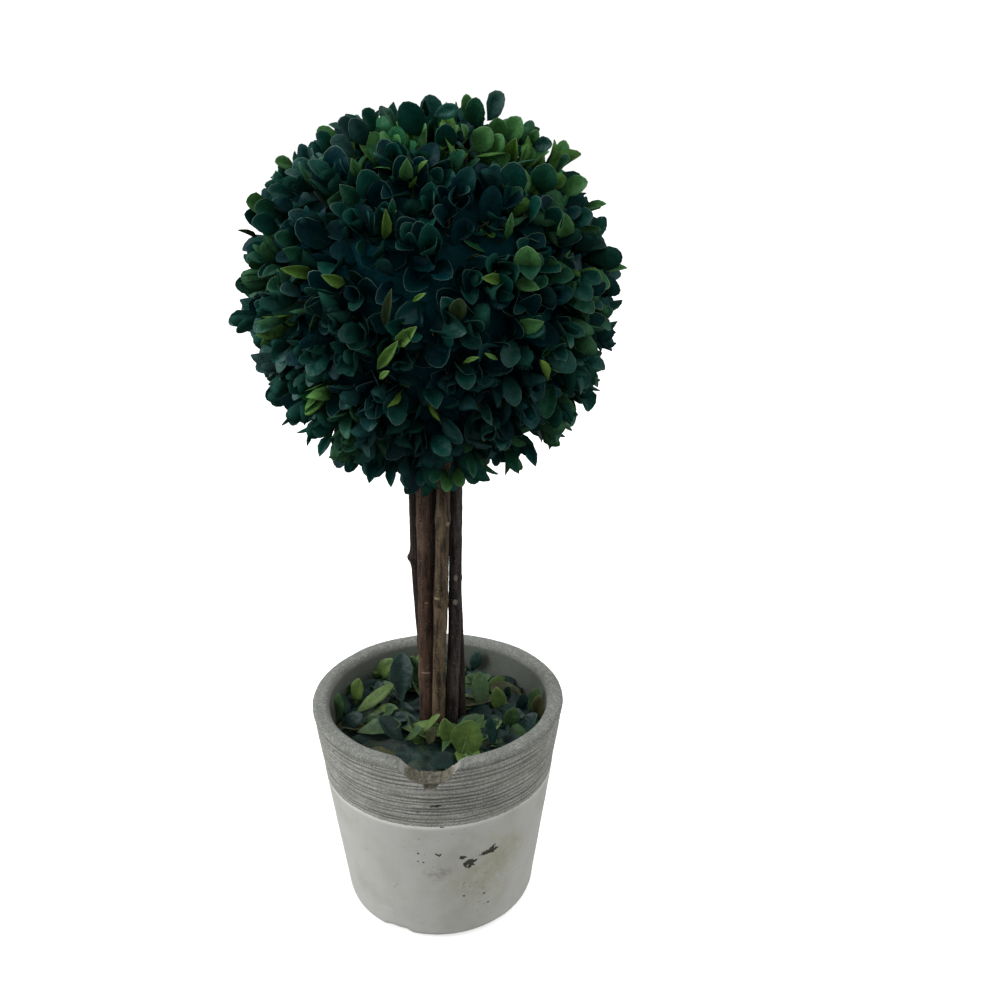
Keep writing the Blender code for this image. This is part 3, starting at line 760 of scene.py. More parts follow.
# Each stick: its radius, where it stands at STICK_LOW, its crook as (height, x, y), where it stands at
# STICK_HIGH, its knots as (height, swelling, the side in degrees that a bud scar faces), and its bark.
STICKS = {
    "back_left": {
        "radius": 0.0028, "low": (-0.0058, 0.0060), "crook": (0.178, -0.0095, 0.0040),
        "high": (-0.0097, 0.0030), "knots": ((0.176, 0.30, 200), (0.131, 0.12, -60)), "bark": "dark",
    },
    "front_left": {
        "radius": 0.0036, "low": (-0.0056, -0.0016), "crook": (0.150, -0.0050, -0.0028),
        "high": (-0.0048, -0.0040), "knots": ((0.196, 0.06, -120), (0.118, 0.07, -60)), "bark": "red",
    },
    "front": {
        "radius": 0.0032, "low": (0.0003, -0.0067), "crook": (0.159, 0.0021, -0.0066),
        "high": (0.0041, -0.0062), "knots": ((0.159, 0.12, -110), (0.199, 0.14, -20)), "bark": "tan",
    },
    "right": {
        "radius": 0.0031, "low": (0.0064, -0.0010), "crook": (0.140, 0.0081, -0.0011),
        "high": (0.0094, -0.0013), "knots": ((0.154, 0.10, -50), (0.186, 0.06, -100)), "bark": "grey",
    },
    "back_right": {
        "radius": 0.0024, "low": (0.0105, 0.0038), "crook": (0.135, 0.0097, 0.0048),
        "high": (0.0078, 0.0062), "knots": ((0.165, 0.12, 30),), "bark": "dark",
    },
    "back": {
        "radius": 0.0026, "low": (0.0015, 0.0058), "crook": (0.155, -0.0013, 0.0064),
        "high": (-0.0012, 0.0070), "knots": ((0.142, 0.12, 90),), "bark": "dark",
    },
}


def stick_place(stick, height):
    """The stick's middle at each height: two straight runs, with a parabola between them at the crook."""
    crook_height, *crook = stick["crook"]
    rise = height - crook_height
    within = np.clip(STICK_BEND - np.abs(rise), 0.0, None) ** 2 / (4 * STICK_BEND)
    place = []
    for axis in range(2):
        below = (crook[axis] - stick["low"][axis]) / (crook_height - STICK_LOW)
        above = (stick["high"][axis] - crook[axis]) / (STICK_HIGH - crook_height)
        place.append(crook[axis] + np.where(rise > 0, above, below) * rise + (above - below) * within)
    return np.stack([*place, height], axis=-1)


def stick_radius(stick, height):
    """The stick's radius at each height: an even taper, swollen by a bell curve at each knot."""
    share = (height - STICK_FOOT) / (STICK_HEAD - STICK_FOOT)
    radius = stick["radius"] * (1 + (STICK_TAPER - 1) * share)
    for knot, swelling, _ in stick["knots"]:
        radius = radius * (1 + swelling * np.exp(-(((height - knot) / KNOT_REACH) ** 2)))
    return radius


# %% Bark relief
BARK_SIDES = 44


def bark_rings(stick, seed):
    """Rings of points up a stick: the radius times 1 plus ridges, roundness faults, scales and bud scars."""
    low, high = 0.088, 0.232
    height = np.concatenate(
        [
            np.linspace(STICK_FOOT, low, 10)[:-1],
            np.linspace(low, high, 262),
            np.linspace(high, STICK_HEAD, 7)[1:],
        ]
    )
    turn = round_turn(BARK_SIDES)
    middle = stick_place(stick, height)[:, None, :]
    plain = stick_radius(stick, height)[:, None]
    round_about = polar(1.0, turn, height[:, None] / 0.004)
    slow = round_about * (0.9, 0.9, 0.10)
    ridges = round_about * (4.0, 4.0, 0.22)
    scales = round_about * (5.0, 5.0, 1.6)
    uneven = 0.060 * noise(slow, 1.0, seed) + 0.055 * noise(ridges, 1.0, seed + 1)
    uneven = uneven + 0.028 * noise(ridges * (2.1, 2.1, 1.5), 1.0, seed + 2)
    uneven = uneven + 0.022 * noise(scales, 1.0, seed + 3)
    cracks = ramp(noise(ridges * (1.5, 1.5, 0.7), 1.0, seed + 4), 0.42, 0.75)
    uneven = uneven - 0.05 * cracks
    for knot, swelling, side in stick["knots"]:
        around = (apart(turn, np.radians(side)) / 0.55)[None, :]
        up = ((height - knot) / 0.0016)[:, None]
        bud = np.exp(-(around**2) - up**2)
        hollow = np.exp(-((around / 0.45) ** 2) - (up / 0.5) ** 2)
        uneven = uneven + (0.10 + 0.8 * swelling) * bud - 0.12 * hollow
    return middle + polar(plain * (1 + uneven), turn, 0.0), middle[0, 0], middle[-1, 0]


# %% [markdown]
# ### Bark
# The front stick is tan, the one beside it red-brown with pale dots, and the others are darker and greyer.
# All have the same make-up: streaks that run up the stick, fine scales, small pale breathing pores lying
# across it, and a worn, paler side here and there. Only the colours differ.

# %% Bark finishes
BARKS = {
    # Deep colour, middle colour, light colour, colour of the pores, and how much of the light one shows.
    "red": ((38, 26, 21), (82, 61, 49), (122, 100, 83), (150, 130, 110), 0.38),
    "tan": ((34, 27, 20), (94, 79, 60), (142, 125, 98), (160, 142, 116), 0.48),
    "grey": ((28, 24, 24), (64, 57, 55), (112, 106, 100), (140, 130, 118), 0.30),
    "dark": ((24, 18, 17), (46, 36, 33), (78, 66, 58), (104, 90, 76), 0.30),
}
MARKS = {
    # Pale marks where the bark was nicked: the middle in millimetres, and half sizes.
    "red": (((-5.4, -5.4, 120.3), (2.4, 2.4, 0.35)), ((-4.4, -6.4, 157.5), (0.9, 1.5, 0.5))),
    "tan": (((6.2, -8.6, 197.3), (0.9, 1.6, 1.1)), ((0.3, -9.4, 161.3), (1.5, 1.2, 0.5))),
    "grey": (((9.0, -4.1, 169.1), (0.8, 1.5, 1.6)), ((8.6, -4.1, 156.9), (1.1, 1.5, 1.3))),
    "dark": (),
}


def bark_finish(name):
    """The finish of one kind of bark."""
    deep, middle, light, pore, worn = BARKS[name]
    bark = Finish("bark_" + name, Specular_IOR_Level=0.3)
    streak = bark.noise(0.0016, 4.0, 0.6, stretch=(1.0, 1.0, 7.0))
    scale = bark.noise(0.0011, 3.0, 0.6, stretch=(1.0, 1.0, 1.8))
    patchy = bark.noise(0.009, 3.0, stretch=(0.7, 0.7, 2.2))
    pores = 1.0 - bark.between(bark.cells(0.0036, (0.8, 0.8, 0.34)), 0.10, 0.20)
    marks = [bark.patch(centre, reach, ragged=0.7, edge=0.3) for centre, reach in MARKS[name]]
    colour = bark.coats(
        bark.blend(bark.between(streak, 0.34, 0.62), seen(*deep), seen(*middle)),
        (bark.between(patchy, 0.45, 0.72) * worn, light),
        (bark.between(scale, 0.58, 0.75) * 0.55, light),
        ((1.0 - bark.between(scale, 0.28, 0.42)) * 0.7, deep),
        (pores * 0.55, pore),
        *[(mark * 0.8, pore) for mark in marks],
    )
    relief = bark.bump(streak, 0.0005)
    relief = bark.bump(scale, 0.0003, relief)
    relief = bark.bump(pores, 0.00018, relief)
    return bark.done(Base_Color=colour, Roughness=0.62 + 0.25 * scale, Normal=relief)


bark_finishes = {name: bark_finish(name) for name in BARKS}
for number, (name, stick) in enumerate(STICKS.items()):
    stick_shape = closed_grid(*bark_rings(stick, 100 + 10 * number))
    make_piece("bark_" + name, stick_shape, [bark_finishes[stick["bark"]]], ["stick_" + name])

# %% [markdown]
# ## A leaf
# A boxwood leaf is a small oval spoon, wider towards its tip, with a smooth, slightly thick margin that shows
# as a thin pale line. It has a glossy upper face and a duller, yellower underside. The pale line, on the outer
# part of the outline and on some of the leaves, is partly the margin's own colour and partly a painted
# highlight.
#
# One leaf is a few rings of points inside its own outline: the rings give its upper face, its margin and its
# underside, so it is a closed shell with a real thickness. Thousands are made at once by stretching, bending
# and placing those rings as arrays.

# %% The outline of a leaf and its rings
LEAF_SIDE_POINTS = (0.13, 0.38, 0.66, 0.86, 0.965)
LEAF_RINGS = ((0.50, 1.0), (0.965, 0.85), (1.0, 0.0), (0.55, -1.0))
LEAF_CENTRE = 0.55
LEAF_SKIN = 0.00016
# The pale margin runs only past this share of the length, towards the tip: partly its own colour, partly a
# painted highlight.
MARGIN_FROM = 0.55
RIB_STEPS = 4
RIB_WIDTH = 0.05
RIB_SIDES = ((-1, 0.3), (0, 2.2), (1, 0.3))


def half_width(along, widest, tip):
    """A leaf's half width, 0 to 1, along its length: a sine up to the widest place, then an ellipse."""
    rising = np.sin(0.5 * np.pi * np.clip(along / widest, 0, 1)) ** 1.1
    falling = np.clip(1 - ((along - widest) / (1 - widest)) ** 2, 0, 1) ** tip
    return np.where(along < widest, rising, falling)


def unit_leaf(widest, tip):
    """Across, along and level of a leaf's points, its faces, and each face's part of the leaf.

    The points are the centre of the upper face, the rings in their order, and the centre of the underside.
    Across is a share of the half width, along a share of the length, and level 1 on top and -1 underneath.
    The parts are 0 for the blade, 1 for the margin and 2 for the underside.
    """
    side = np.array(LEAF_SIDE_POINTS)
    edge_along = np.concatenate([[0.0], side, [1.0], side[::-1]])
    edge_across = half_width(edge_along, widest, tip)
    edge_across[len(side) + 2 :] *= -1
    edge_across[[0, len(side) + 1]] = 0.0
    count = len(edge_along)
    across, along, level = [[0.0]], [[LEAF_CENTRE]], [[1.0]]
    for share, side_of in LEAF_RINGS:
        across.append(share * edge_across)
        along.append(LEAF_CENTRE + share * (edge_along - LEAF_CENTRE))
        level.append(np.full(count, side_of))
    across, along, level = (
        np.concatenate([*rows, [end]]) for rows, end in ((across, 0.0), (along, LEAF_CENTRE), (level, -1.0))
    )
    ring = np.arange(count)
    after = (ring + 1) % count
    fan = together(0, 1 + ring, 1 + after)
    last = 1 + (len(LEAF_RINGS) - 1) * count
    quads = []
    for inner in range(1, last, count):
        outer = inner + count
        quads.append(together(inner + ring, outer + ring, outer + after, inner + after))
    end_fan = together(last + after, last + ring, len(across) - 1)
    margin = np.where((edge_along + np.roll(edge_along, -1)) / 2 > MARGIN_FROM, 1, 0)
    parts = np.concatenate([np.zeros(count, int), margin, np.full(count, 2)])
    faces = [np.concatenate(quads), np.concatenate([fan, end_fan])]
    return across, along, level, faces, (parts, np.repeat([0, 2], count))


# %% Many leaves at once
def place_leaves(leaf, root, forward, upper, length, width, form):
    """The points of many leaves, as (leaf, point, 3).

    A leaf's own frame is its direction, its side and the normal of its upper face. In it a point lies across
    times half the width, along times the length, and as high as its form says: a cup that grows with the
    square of across, a fold with its size, a bend with the square of along, and a wave along the margin.
    """
    across, along, level = leaf[:3]
    forward = unit(forward)
    side = unit(np.cross(forward, upper))
    normal = np.cross(side, forward)
    cup, fold, bend, wave = (form[name][:, None] for name in ("cup", "fold", "bend", "wave"))
    rise = width[:, None] * (cup * across**2 + fold * np.abs(across) + wave * across * np.sin(6.0 * along))
    rise = rise + length[:, None] * bend * along**2 + LEAF_SKIN * level
    sideways = across * width[:, None] / 2
    onward = along * length[:, None] * (1 - 0.5 * (bend * along) ** 2)
    return (
        root[:, None, :]
        + onward[..., None] * forward[:, None, :]
        + sideways[..., None] * side[:, None, :]
        + rise[..., None] * normal[:, None, :]
    )


def leaf_kinds(leaf, darker_blade, rimmed):
    """Each face's finish: 0 for a young blade, 1 for a darker one, 2 for a pale margin, 3 for the underside."""
    blade = np.where(darker_blade, 1, 0)
    finish_of = together(blade, np.where(rimmed, 2, blade), 3)
    return np.concatenate([finish_of[:, parts].reshape(-1) for parts in leaf[4]])


def unit_rib():
    """A leaf's midrib, in the same terms as a leaf: a low ridge of three sides that narrows to the tip."""
    along = np.linspace(0.03, 0.93, RIB_STEPS)
    wide = RIB_WIDTH * (1.0 - 0.75 * along)
    ridge = np.stack([together(part * wide, along, level) for part, level in RIB_SIDES], axis=1)
    points, faces = closed_grid(ridge, (0.0, 0.01, 0.5), (0.0, 0.97, 0.5))
    return (*points.T, faces)


# %% [markdown]
# ### Leaf finishes
# Preserved leaves are dyed, so the ball has a few tints and not one: mostly a deep blue-green, darkened with
# painted shade in front, with mossy and fresh green sprays, more of them at the upper right, and a few
# yellow-green or brown leaves. A colour that has a place is a plain base colour here, dealt out by spray. The
# lighter sprays at the upper right and the left are partly the leaves' own fresher colour and partly painted
# light. The inner pairs of each sprig take a darker blade colour, partly for age and partly as painted shade,
# and the margin's pale colour is partly its own and partly a painted highlight. Within a leaf the dye took more
# deeply in cloudy spots, and painted shade darkens each leaf towards its stalk. Waxiness and fine relief come
# from noise.


# %% Finishes of one tint
WAX_TINT = (0.72, 1.0, 1.0)


def waxy(name, colour, roughness, shine, grain):
    """A leaf face: one dye that took unevenly, with painted shade towards the stalk, under wax whose shine
    varies.
    """
    leaf = Finish(name, Specular_IOR_Level=shine, Specular_Tint=WAX_TINT)
    cloud = leaf.noise(0.0030, 3.0)
    fine = leaf.noise(0.0006, 2.0)
    stalk_shade_and_dark_dye = tuple(0.45 * part for part in colour)
    # Painted shade: the face darkens towards its stalk.
    tone = leaf.blend(leaf.between(leaf.attribute("along"), 0.05, 0.80), stalk_shade_and_dark_dye, colour)
    # Cloudy spots where the dye took more deeply.
    tone = leaf.blend((1.0 - leaf.between(cloud + fine * 0.8, 0.70, 1.05)) * 0.6, tone, stalk_shade_and_dark_dye)
    relief = leaf.bump(fine, grain)
    relief = leaf.bump(cloud, 0.0005, relief)
    return leaf.done(Base_Color=tone, Roughness=roughness + 0.22 * cloud, Normal=relief)


TINTS = {
    # The colours of a young blade, a darker blade that the inner pairs take partly as painted shade, the margin,
    # whose pale colour is partly a painted highlight, and the underside, as seen on a screen.
    # The shaded deep tint is the deep one darkened: painted shade for the sprays in front.
    "shaded_deep": (seen(10, 58, 50), seen(0, 36, 41), seen(72, 100, 88), seen(20, 56, 48)),
    "deep": (seen(14, 75, 65), seen(0, 46, 52), seen(74, 104, 92), seen(26, 72, 61)),
    "teal": (seen(12, 66, 65), seen(0, 42, 52), seen(74, 102, 96), seen(26, 64, 62)),
    "moss": (seen(34, 91, 67), seen(4, 56, 57), seen(86, 116, 90), seen(52, 96, 64)),
    "fresh": (seen(84, 143, 80), seen(40, 106, 66), seen(122, 160, 108), seen(96, 146, 74)),
    "lime": (seen(94, 136, 52), seen(68, 110, 46), seen(122, 150, 90), seen(104, 140, 60)),
    "slate": (seen(38, 78, 75), seen(20, 56, 60), seen(84, 110, 104), seen(44, 74, 70)),
    "brown": (seen(52, 70, 36), seen(36, 52, 32), seen(86, 98, 64), seen(66, 82, 46)),
}


def tint_finishes(tint, roughness=0.34):
    """The four finishes of one tint: young and darker blade, margin, underside."""
    young, darker_blade, margin, under = TINTS[tint]
    return [
        waxy(f"leaf_{tint}_young", young, roughness, 0.28, 0.00008),
        waxy(f"leaf_{tint}_older", darker_blade, roughness, 0.14, 0.00008),
        waxy(f"leaf_{tint}_margin", margin, roughness, 0.2, 0.00003),
        waxy(f"leaf_{tint}_underside", under, roughness + 0.25, 0.06, 0.00010),
    ]


finishes = {tint: tint_finishes(tint) for tint in TINTS}
print("leaf tints", list(finishes))

# %% [markdown]
# ## The ball
# The ball is a core of foam that sprigs are stuck into, and then it is clipped round. The solids grow a hundred
# sprigs with two pairs of leaves. The same rule is carried further here: directions spread by the golden angle,
# a twig out of the core along each, and pairs of leaves on it, each pair square to the one before. There are
# more and smaller sprigs, with four pairs, from a small upright one at the tip to wide open ones further in.
# A florist sticks in a few sprigs at a time, so they stand in clumps: each is drawn towards the middle of its
# clump at the foot and leans away from it at the tip, which leaves darker hollows between the clumps.

# %% The ball's sizes
BALL_CENTRE = np.array([-0.0001, 0.0, 0.2954])
BALL_RADIUS = 0.0800
CORE_RADIUS = 0.0580
SPRIGS = 430
CLUMPS = 125
GATHERED = 0.30
FANNED = 0.90
SEED = 41
TIP_RISE = 0.93  # how much of its length an upright leaf at a twig's tip stands up
PAIRS = (
    # How far below the tip the pair sits, its opening in degrees, and the leaf's length and width.
    (0.0000, 9, 0.0130, 0.0067),
    (0.0036, 20, 0.0156, 0.0081),
    (0.0078, 32, 0.0164, 0.0087),
    (0.0124, 46, 0.0160, 0.0089),
)


def spread_directions(count):
    """Directions spread evenly over a sphere: equal steps of height, and a turn by the golden angle each."""
    step = np.arange(count)
    height = 1 - (2 * step + 1) / count
    return polar(np.sqrt(1 - height**2), math.pi * (3 - math.sqrt(5)) * step, height)


def any_side(axis):
    """A direction square to each axis."""
    helper = np.where(np.abs(axis[:, 2:]) < 0.8, [[0.0, 0.0, 1.0]], [[1.0, 0.0, 0.0]])
    return unit(np.cross(axis, helper))


def turned(vectors, axis, angle):
    """Vectors turned about axes square to them: cosine of the angle along them, sine across."""
    return np.cos(angle)[:, None] * vectors + np.sin(angle)[:, None] * np.cross(axis, vectors)


def stick_clearance(points):
    """The least distance from each point to the bark of any stick."""
    nearest = np.full(points.shape[:-1], 1.0)
    for stick in STICKS.values():
        level = np.clip(points[..., 2], STICK_FOOT, STICK_HEAD)
        away = np.linalg.norm(points - stick_place(stick, level), axis=-1) - stick_radius(stick, level)
        nearest = np.minimum(nearest, away)
    return nearest


# %% The core
core_rise = 0.5 * np.pi * (np.linspace(-1, 1, 62)[1:-1, None] + 1)
core_way = polar(np.sin(core_rise), round_turn(120), -np.cos(core_rise))
core_rough = 1 + 0.020 * noise(core_way, 0.09, 301) + 0.012 * noise(core_way, 0.035, 302)
core_rings = BALL_CENTRE + CORE_RADIUS * core_rough[..., None] * core_way
poles = BALL_CENTRE + CORE_RADIUS * np.array([[0, 0, -1.0], [0, 0, 1.0]])
# The core's dark blue-green is painted shade: the colour of the deep gaps between the sprigs.
core = Finish("core_painted_shade", Specular_IOR_Level=0.05)
core_cloud = core.noise(0.004, 4.0)
core_shade_colour = core.blend(core_cloud, seen(0, 40, 50), seen(8, 54, 58))
core_relief = core.bump(core_cloud, 0.002)
core_finish = core.done(Base_Color=core_shade_colour, Roughness=0.85 + 0.1 * core_cloud, Normal=core_relief)
make_piece("ball_core", closed_grid(core_rings, *poles), [core_finish], ["boxwood_ball"])

# %% Where the sprigs stand
draw = np.random.default_rng(SEED)
clump = spread_directions(CLUMPS)
clump = unit(clump + draw.normal(0, 0.06, clump.shape))
direction = spread_directions(SPRIGS)
clump_of = np.argmax(direction @ clump.T, axis=1)
direction = unit(direction + GATHERED * (clump[clump_of] - direction))
axis = unit(direction + FANNED * (direction - clump[clump_of]) + draw.normal(0, 0.11, direction.shape))
side = turned(any_side(axis), axis, draw.uniform(0, 2 * np.pi, SPRIGS))
reach = BALL_RADIUS - 0.0037 + draw.normal(0, 0.0023, SPRIGS)
reach = reach + 0.0012 * noise(direction, 0.5, 310) - 0.0010 * direction[:, 2]
tip = BALL_CENTRE + direction * (reach - PAIRS[0][2] * TIP_RISE)[:, None]
start = BALL_CENTRE + direction * (CORE_RADIUS - 0.003)
size = draw.normal(1.0, 0.07, SPRIGS)
print("sprigs reach", reach.min().round(4), "to", reach.max().round(4))

# %% [markdown]
# Some leaves can be made out one by one in the photograph, and so can the deepest gaps between the sprigs. They
# are given here by where they appear in the picture, which is 1000 by 1000. A line of sight from the camera
# through that place meets the ball, so each leaf sits on the ball, seen from any side.

# %% Lines of sight
PICTURE = 1000
eye = np.array(CAMERA_PLACE)
eye_turn = np.array(camera.matrix_world.to_3x3())
eye_lens = CAMERA_LENS / camera.data.sensor_width * PICTURE


def line_of_sight(places):
    """Unit directions from the camera through places in the picture: offset from its middle over the lens."""
    across, down = (places.T - PICTURE / 2) / eye_lens
    return unit(together(across, -down, -1.0) @ eye_turn.T)


def in_picture(points):
    """Where points appear in the picture, and how far they are from the camera: the same rule undone."""
    own = (points - eye) @ eye_turn
    places = PICTURE / 2 + eye_lens * own[..., :2] * (1, -1) / -own[..., 2:]
    return places, np.linalg.norm(points - eye, axis=-1)


def at_distance(way, centre, distance, nearer):
    """Where a line of sight is a distance from a point, on its near or far side, or else comes closest."""
    foot = eye + ((centre - eye) * way).sum(-1, keepdims=True) * way
    off = ((centre - foot) ** 2).sum(-1, keepdims=True)
    half = np.sqrt(np.clip(np.reshape(distance, (-1, 1)) ** 2 - off, 0, None))
    return foot - half * way if nearer else foot + half * way


# %% Leaves of the ball that the photograph shows one by one
SEEN_LEAVES = (
    # The tip and the stalk in the picture, width and length in millimetres, tint, and how far it is folded.
    ((466, 95), (472, 126), 6.0, 14.0, "fresh", 0.08),
    ((476, 98), (476, 130), 8.4, 14.5, "moss", 0.06),
    ((503, 94), (487, 121), 10.6, 15.0, "shaded_deep", 0.03),
    ((520, 118), (508, 142), 9.5, 13.0, "fresh", 0.12),
    ((498, 117), (496, 140), 8.0, 12.0, "fresh", 0.12),
    ((489, 130), (474, 152), 9.2, 13.0, "fresh", 0.06),
    ((501, 136), (492, 156), 7.0, 11.0, "fresh", 0.10),
    ((462, 124), (465, 140), 4.0, 9.0, "fresh", 0.30),
    ((516, 138), (510, 163), 7.4, 12.0, "lime", 0.32),
    ((514, 163), (510, 203), 11.6, 17.0, "deep", 0.03),
    ((549, 164), (540, 195), 11.2, 15.0, "moss", 0.08),
    ((538, 130), (530, 146), 4.5, 10.0, "fresh", 0.10),
    ((551, 144), (532, 146), 6.5, 12.0, "shaded_deep", 0.08),
    ((569, 158), (556, 172), 7.5, 12.0, "moss", 0.08),
    ((587, 182), (560, 192), 8.4, 15.0, "fresh", 0.10),
    ((541, 201), (527, 222), 9.5, 15.0, "deep", 0.06),
    ((560, 208), (549, 232), 9.0, 14.0, "deep", 0.08),
    ((590, 298), (572, 282), 8.0, 13.0, "deep", 0.08),
    ((600, 283), (580, 272), 7.0, 13.0, "deep", 0.10),
    ((276, 236), (298, 244), 6.5, 14.0, "moss", 0.12),
    ((284, 250), (306, 256), 6.0, 13.0, "moss", 0.16),
    ((606, 203), (583, 209), 5.0, 12.0, "fresh", 0.15),
    ((565, 213), (562, 238), 7.5, 12.0, "fresh", 0.35),
    ((592, 216), (572, 222), 8.5, 12.0, "deep", 0.08),
    ((512, 213), (506, 240), 3.2, 12.0, "fresh", 0.40),
    ((527, 246), (531, 276), 10.6, 13.5, "fresh", 0.12),
    ((540, 254), (537, 272), 4.5, 10.0, "moss", 0.20),
    ((531, 278), (529, 262), 8.5, 11.0, "moss", 0.15),
    ((539, 289), (514, 282), 5.5, 12.0, "fresh", 0.20),
    ((482, 278), (501, 280), 5.0, 10.0, "lime", 0.40),
    ((626, 266), (603, 272), 5.0, 13.0, "fresh", 0.15),
    ((446, 124), (447, 152), 8.6, 15.0, "deep", 0.05),
    ((457, 108), (433, 116), 6.0, 13.0, "deep", 0.10),
    ((425, 98), (427, 117), 3.2, 12.0, "slate", 0.30),
    ((404, 104), (420, 137), 11.5, 16.5, "deep", 0.06),
    ((361, 110), (376, 132), 8.0, 15.0, "deep", 0.10),
    ((384, 108), (397, 130), 6.5, 14.0, "moss", 0.16),
    ((352, 120), (366, 146), 8.5, 14.0, "slate", 0.08),
    ((337, 121), (355, 141), 9.5, 15.0, "slate", 0.05),
    ((331, 141), (356, 154), 8.5, 14.0, "slate", 0.08),
    ((277, 161), (295, 166), 6.0, 13.0, "fresh", 0.10),
    ((246, 202), (269, 207), 9.0, 14.0, "fresh", 0.10),
    ((269, 190), (296, 196), 7.0, 14.0, "deep", 0.08),
    ((237, 227), (259, 240), 3.5, 13.0, "brown", 0.35),
    ((282, 269), (314, 274), 5.8, 14.0, "lime", 0.50),
    ((321, 275), (345, 284), 5.4, 11.0, "lime", 0.50),
    ((263, 275), (282, 266), 4.5, 11.0, "moss", 0.15),
    ((281, 290), (305, 292), 6.5, 13.0, "slate", 0.08),
    ((407, 159), (405, 181), 5.5, 11.0, "fresh", 0.25),
    ((427, 160), (418, 173), 2.6, 8.0, "lime", 0.30),
    ((386, 210), (384, 240), 4.6, 13.0, "lime", 0.50),
    ((393, 199), (389, 218), 3.4, 9.0, "moss", 0.25),
    ((352, 159), (358, 177), 4.4, 9.0, "fresh", 0.25),
    ((340, 185), (359, 203), 7.0, 12.0, "moss", 0.22),
    ((363, 172), (371, 200), 10.5, 15.0, "deep", 0.08),
    ((416, 327), (396, 347), 6.0, 12.0, "lime", 0.45),
    ((397, 342), (377, 370), 5.0, 14.5, "lime", 0.45),
    ((389, 371), (379, 379), 3.0, 7.0, "lime", 0.20),
    ((426, 293), (412, 302), 2.2, 8.0, "lime", 0.30),
    ((391, 289), (385, 330), 4.0, 17.0, "brown", 0.35),
    ((460, 299), (455, 325), 6.6, 12.5, "brown", 0.10),
    ((479, 357), (463, 363), 2.4, 8.0, "lime", 0.30),
    ((484, 353), (498, 360), 2.0, 7.0, "lime", 0.30),
    ((541, 359), (548, 382), 4.6, 12.0, "lime", 0.40),
    ((547, 419), (552, 381), 8.8, 16.5, "moss", 0.10),
    ((543, 323), (516, 326), 7.0, 13.0, "fresh", 0.25),
    ((508, 367), (513, 338), 8.0, 14.0, "shaded_deep", 0.06),
    ((396, 425), (398, 397), 8.0, 14.0, "shaded_deep", 0.10),
    ((491, 425), (484, 399), 5.0, 13.0, "shaded_deep", 0.18),
    ((449, 455), (431, 434), 8.0, 14.0, "deep", 0.12),
    ((437, 407), (428, 388), 8.0, 13.0, "shaded_deep", 0.20),
    ((468, 390), (462, 360), 8.0, 15.0, "shaded_deep", 0.10),
    ((516, 405), (505, 372), 7.5, 15.0, "shaded_deep", 0.10),
    ((463, 486), (452, 466), 6.5, 13.0, "fresh", 0.10),
    ((446, 491), (444, 468), 7.0, 13.0, "fresh", 0.10),
    ((433, 483), (438, 464), 5.5, 12.0, "moss", 0.12),
    ((319, 456), (332, 433), 6.0, 13.0, "deep", 0.15),
    ((369, 484), (376, 458), 5.5, 13.0, "teal", 0.18),
    ((390, 486), (393, 460), 5.5, 13.0, "deep", 0.16),
    ((473, 479), (467, 454), 5.5, 12.0, "moss", 0.15),
    ((518, 473), (507, 449), 6.0, 13.0, "moss", 0.15),
    ((536, 465), (524, 442), 6.0, 13.0, "teal", 0.15),
    ((318, 134), (334, 152), 7.5, 12.0, "deep", 0.08),
    ((245, 214), (268, 226), 8.5, 14.0, "deep", 0.12),
    ((256, 208), (281, 213), 9.0, 14.0, "moss", 0.10),
    ((254, 222), (280, 228), 9.0, 14.0, "deep", 0.10),
)
SEEN_GAPS = (
    # The middle of a gap in the picture, and its half width and half height there.
    ((338, 247), (44, 15)),
    ((470, 238), (30, 26)),
    ((425, 325), (15, 34)),
    ((392, 285), (26, 18)),
    ((545, 195), (26, 8)),
    ((372, 305), (14, 20)),
    ((500, 318), (12, 12)),
    ((574, 258), (16, 14)),
    ((530, 348), (9, 14)),
    ((291, 326), (17, 14)),
    ((459, 412), (15, 13)),
    ((415, 372), (13, 12)),
    ((494, 247), (13, 12)),
    ((416, 410), (15, 12)),
)
SEEN_RADIUS = 0.0788
GAP_FLOOR = 0.067
AHEAD = 0.0015
BESIDE = 6.0


def column(table, part):
    """One part of every row of a table, as an array of numbers."""
    return np.array([row[part] for row in table], float)


seen_tip, seen_stalk = column(SEEN_LEAVES, 0), column(SEEN_LEAVES, 1)
seen_width, seen_length = column(SEEN_LEAVES, 2) / 1000, column(SEEN_LEAVES, 3) / 1000
seen_width = seen_width * np.array([0.84 if leaf[4] == "lime" else 0.94 for leaf in SEEN_LEAVES])
seen_fold = column(SEEN_LEAVES, 5)
tip_place = at_distance(line_of_sight(seen_tip), BALL_CENTRE, SEEN_RADIUS, nearer=True)
stalk_place = at_distance(line_of_sight(seen_stalk), tip_place, seen_length, nearer=False)
print("leaves with a place", len(SEEN_LEAVES), "gaps", len(SEEN_GAPS))


def stand_before(points, tips, stalks, places, widths, beside, ahead):
    """Which leaves the camera sees before a leaf with a place: nearer, and close to its midline."""
    middle, distance = in_picture(points.mean(axis=1))
    span = tips - stalks
    offset = middle[:, None, :] - stalks
    share = np.clip((offset * span).sum(-1) / (span**2).sum(-1), 0, 1)
    off_line = np.linalg.norm(offset - share[..., None] * span, axis=-1)
    _, far = in_picture(places)
    covering = (off_line < 0.5 * widths * eye_lens / far + beside) & (distance[:, None] < far + ahead)
    return covering.any(axis=1)


def over_gap(points):
    """Which leaves reach up over one of the gaps on the near side of the ball."""
    middle, distance = in_picture(points.mean(axis=1))
    gap_middle, gap_half = column(SEEN_GAPS, 0), column(SEEN_GAPS, 1)
    within = (((middle[:, None, :] - gap_middle) / gap_half) ** 2).sum(-1) < 1
    high = np.linalg.norm(points - BALL_CENTRE, axis=-1).max(axis=1) > GAP_FLOOR
    return within.any(axis=1) & high & (distance < np.linalg.norm(BALL_CENTRE - eye))
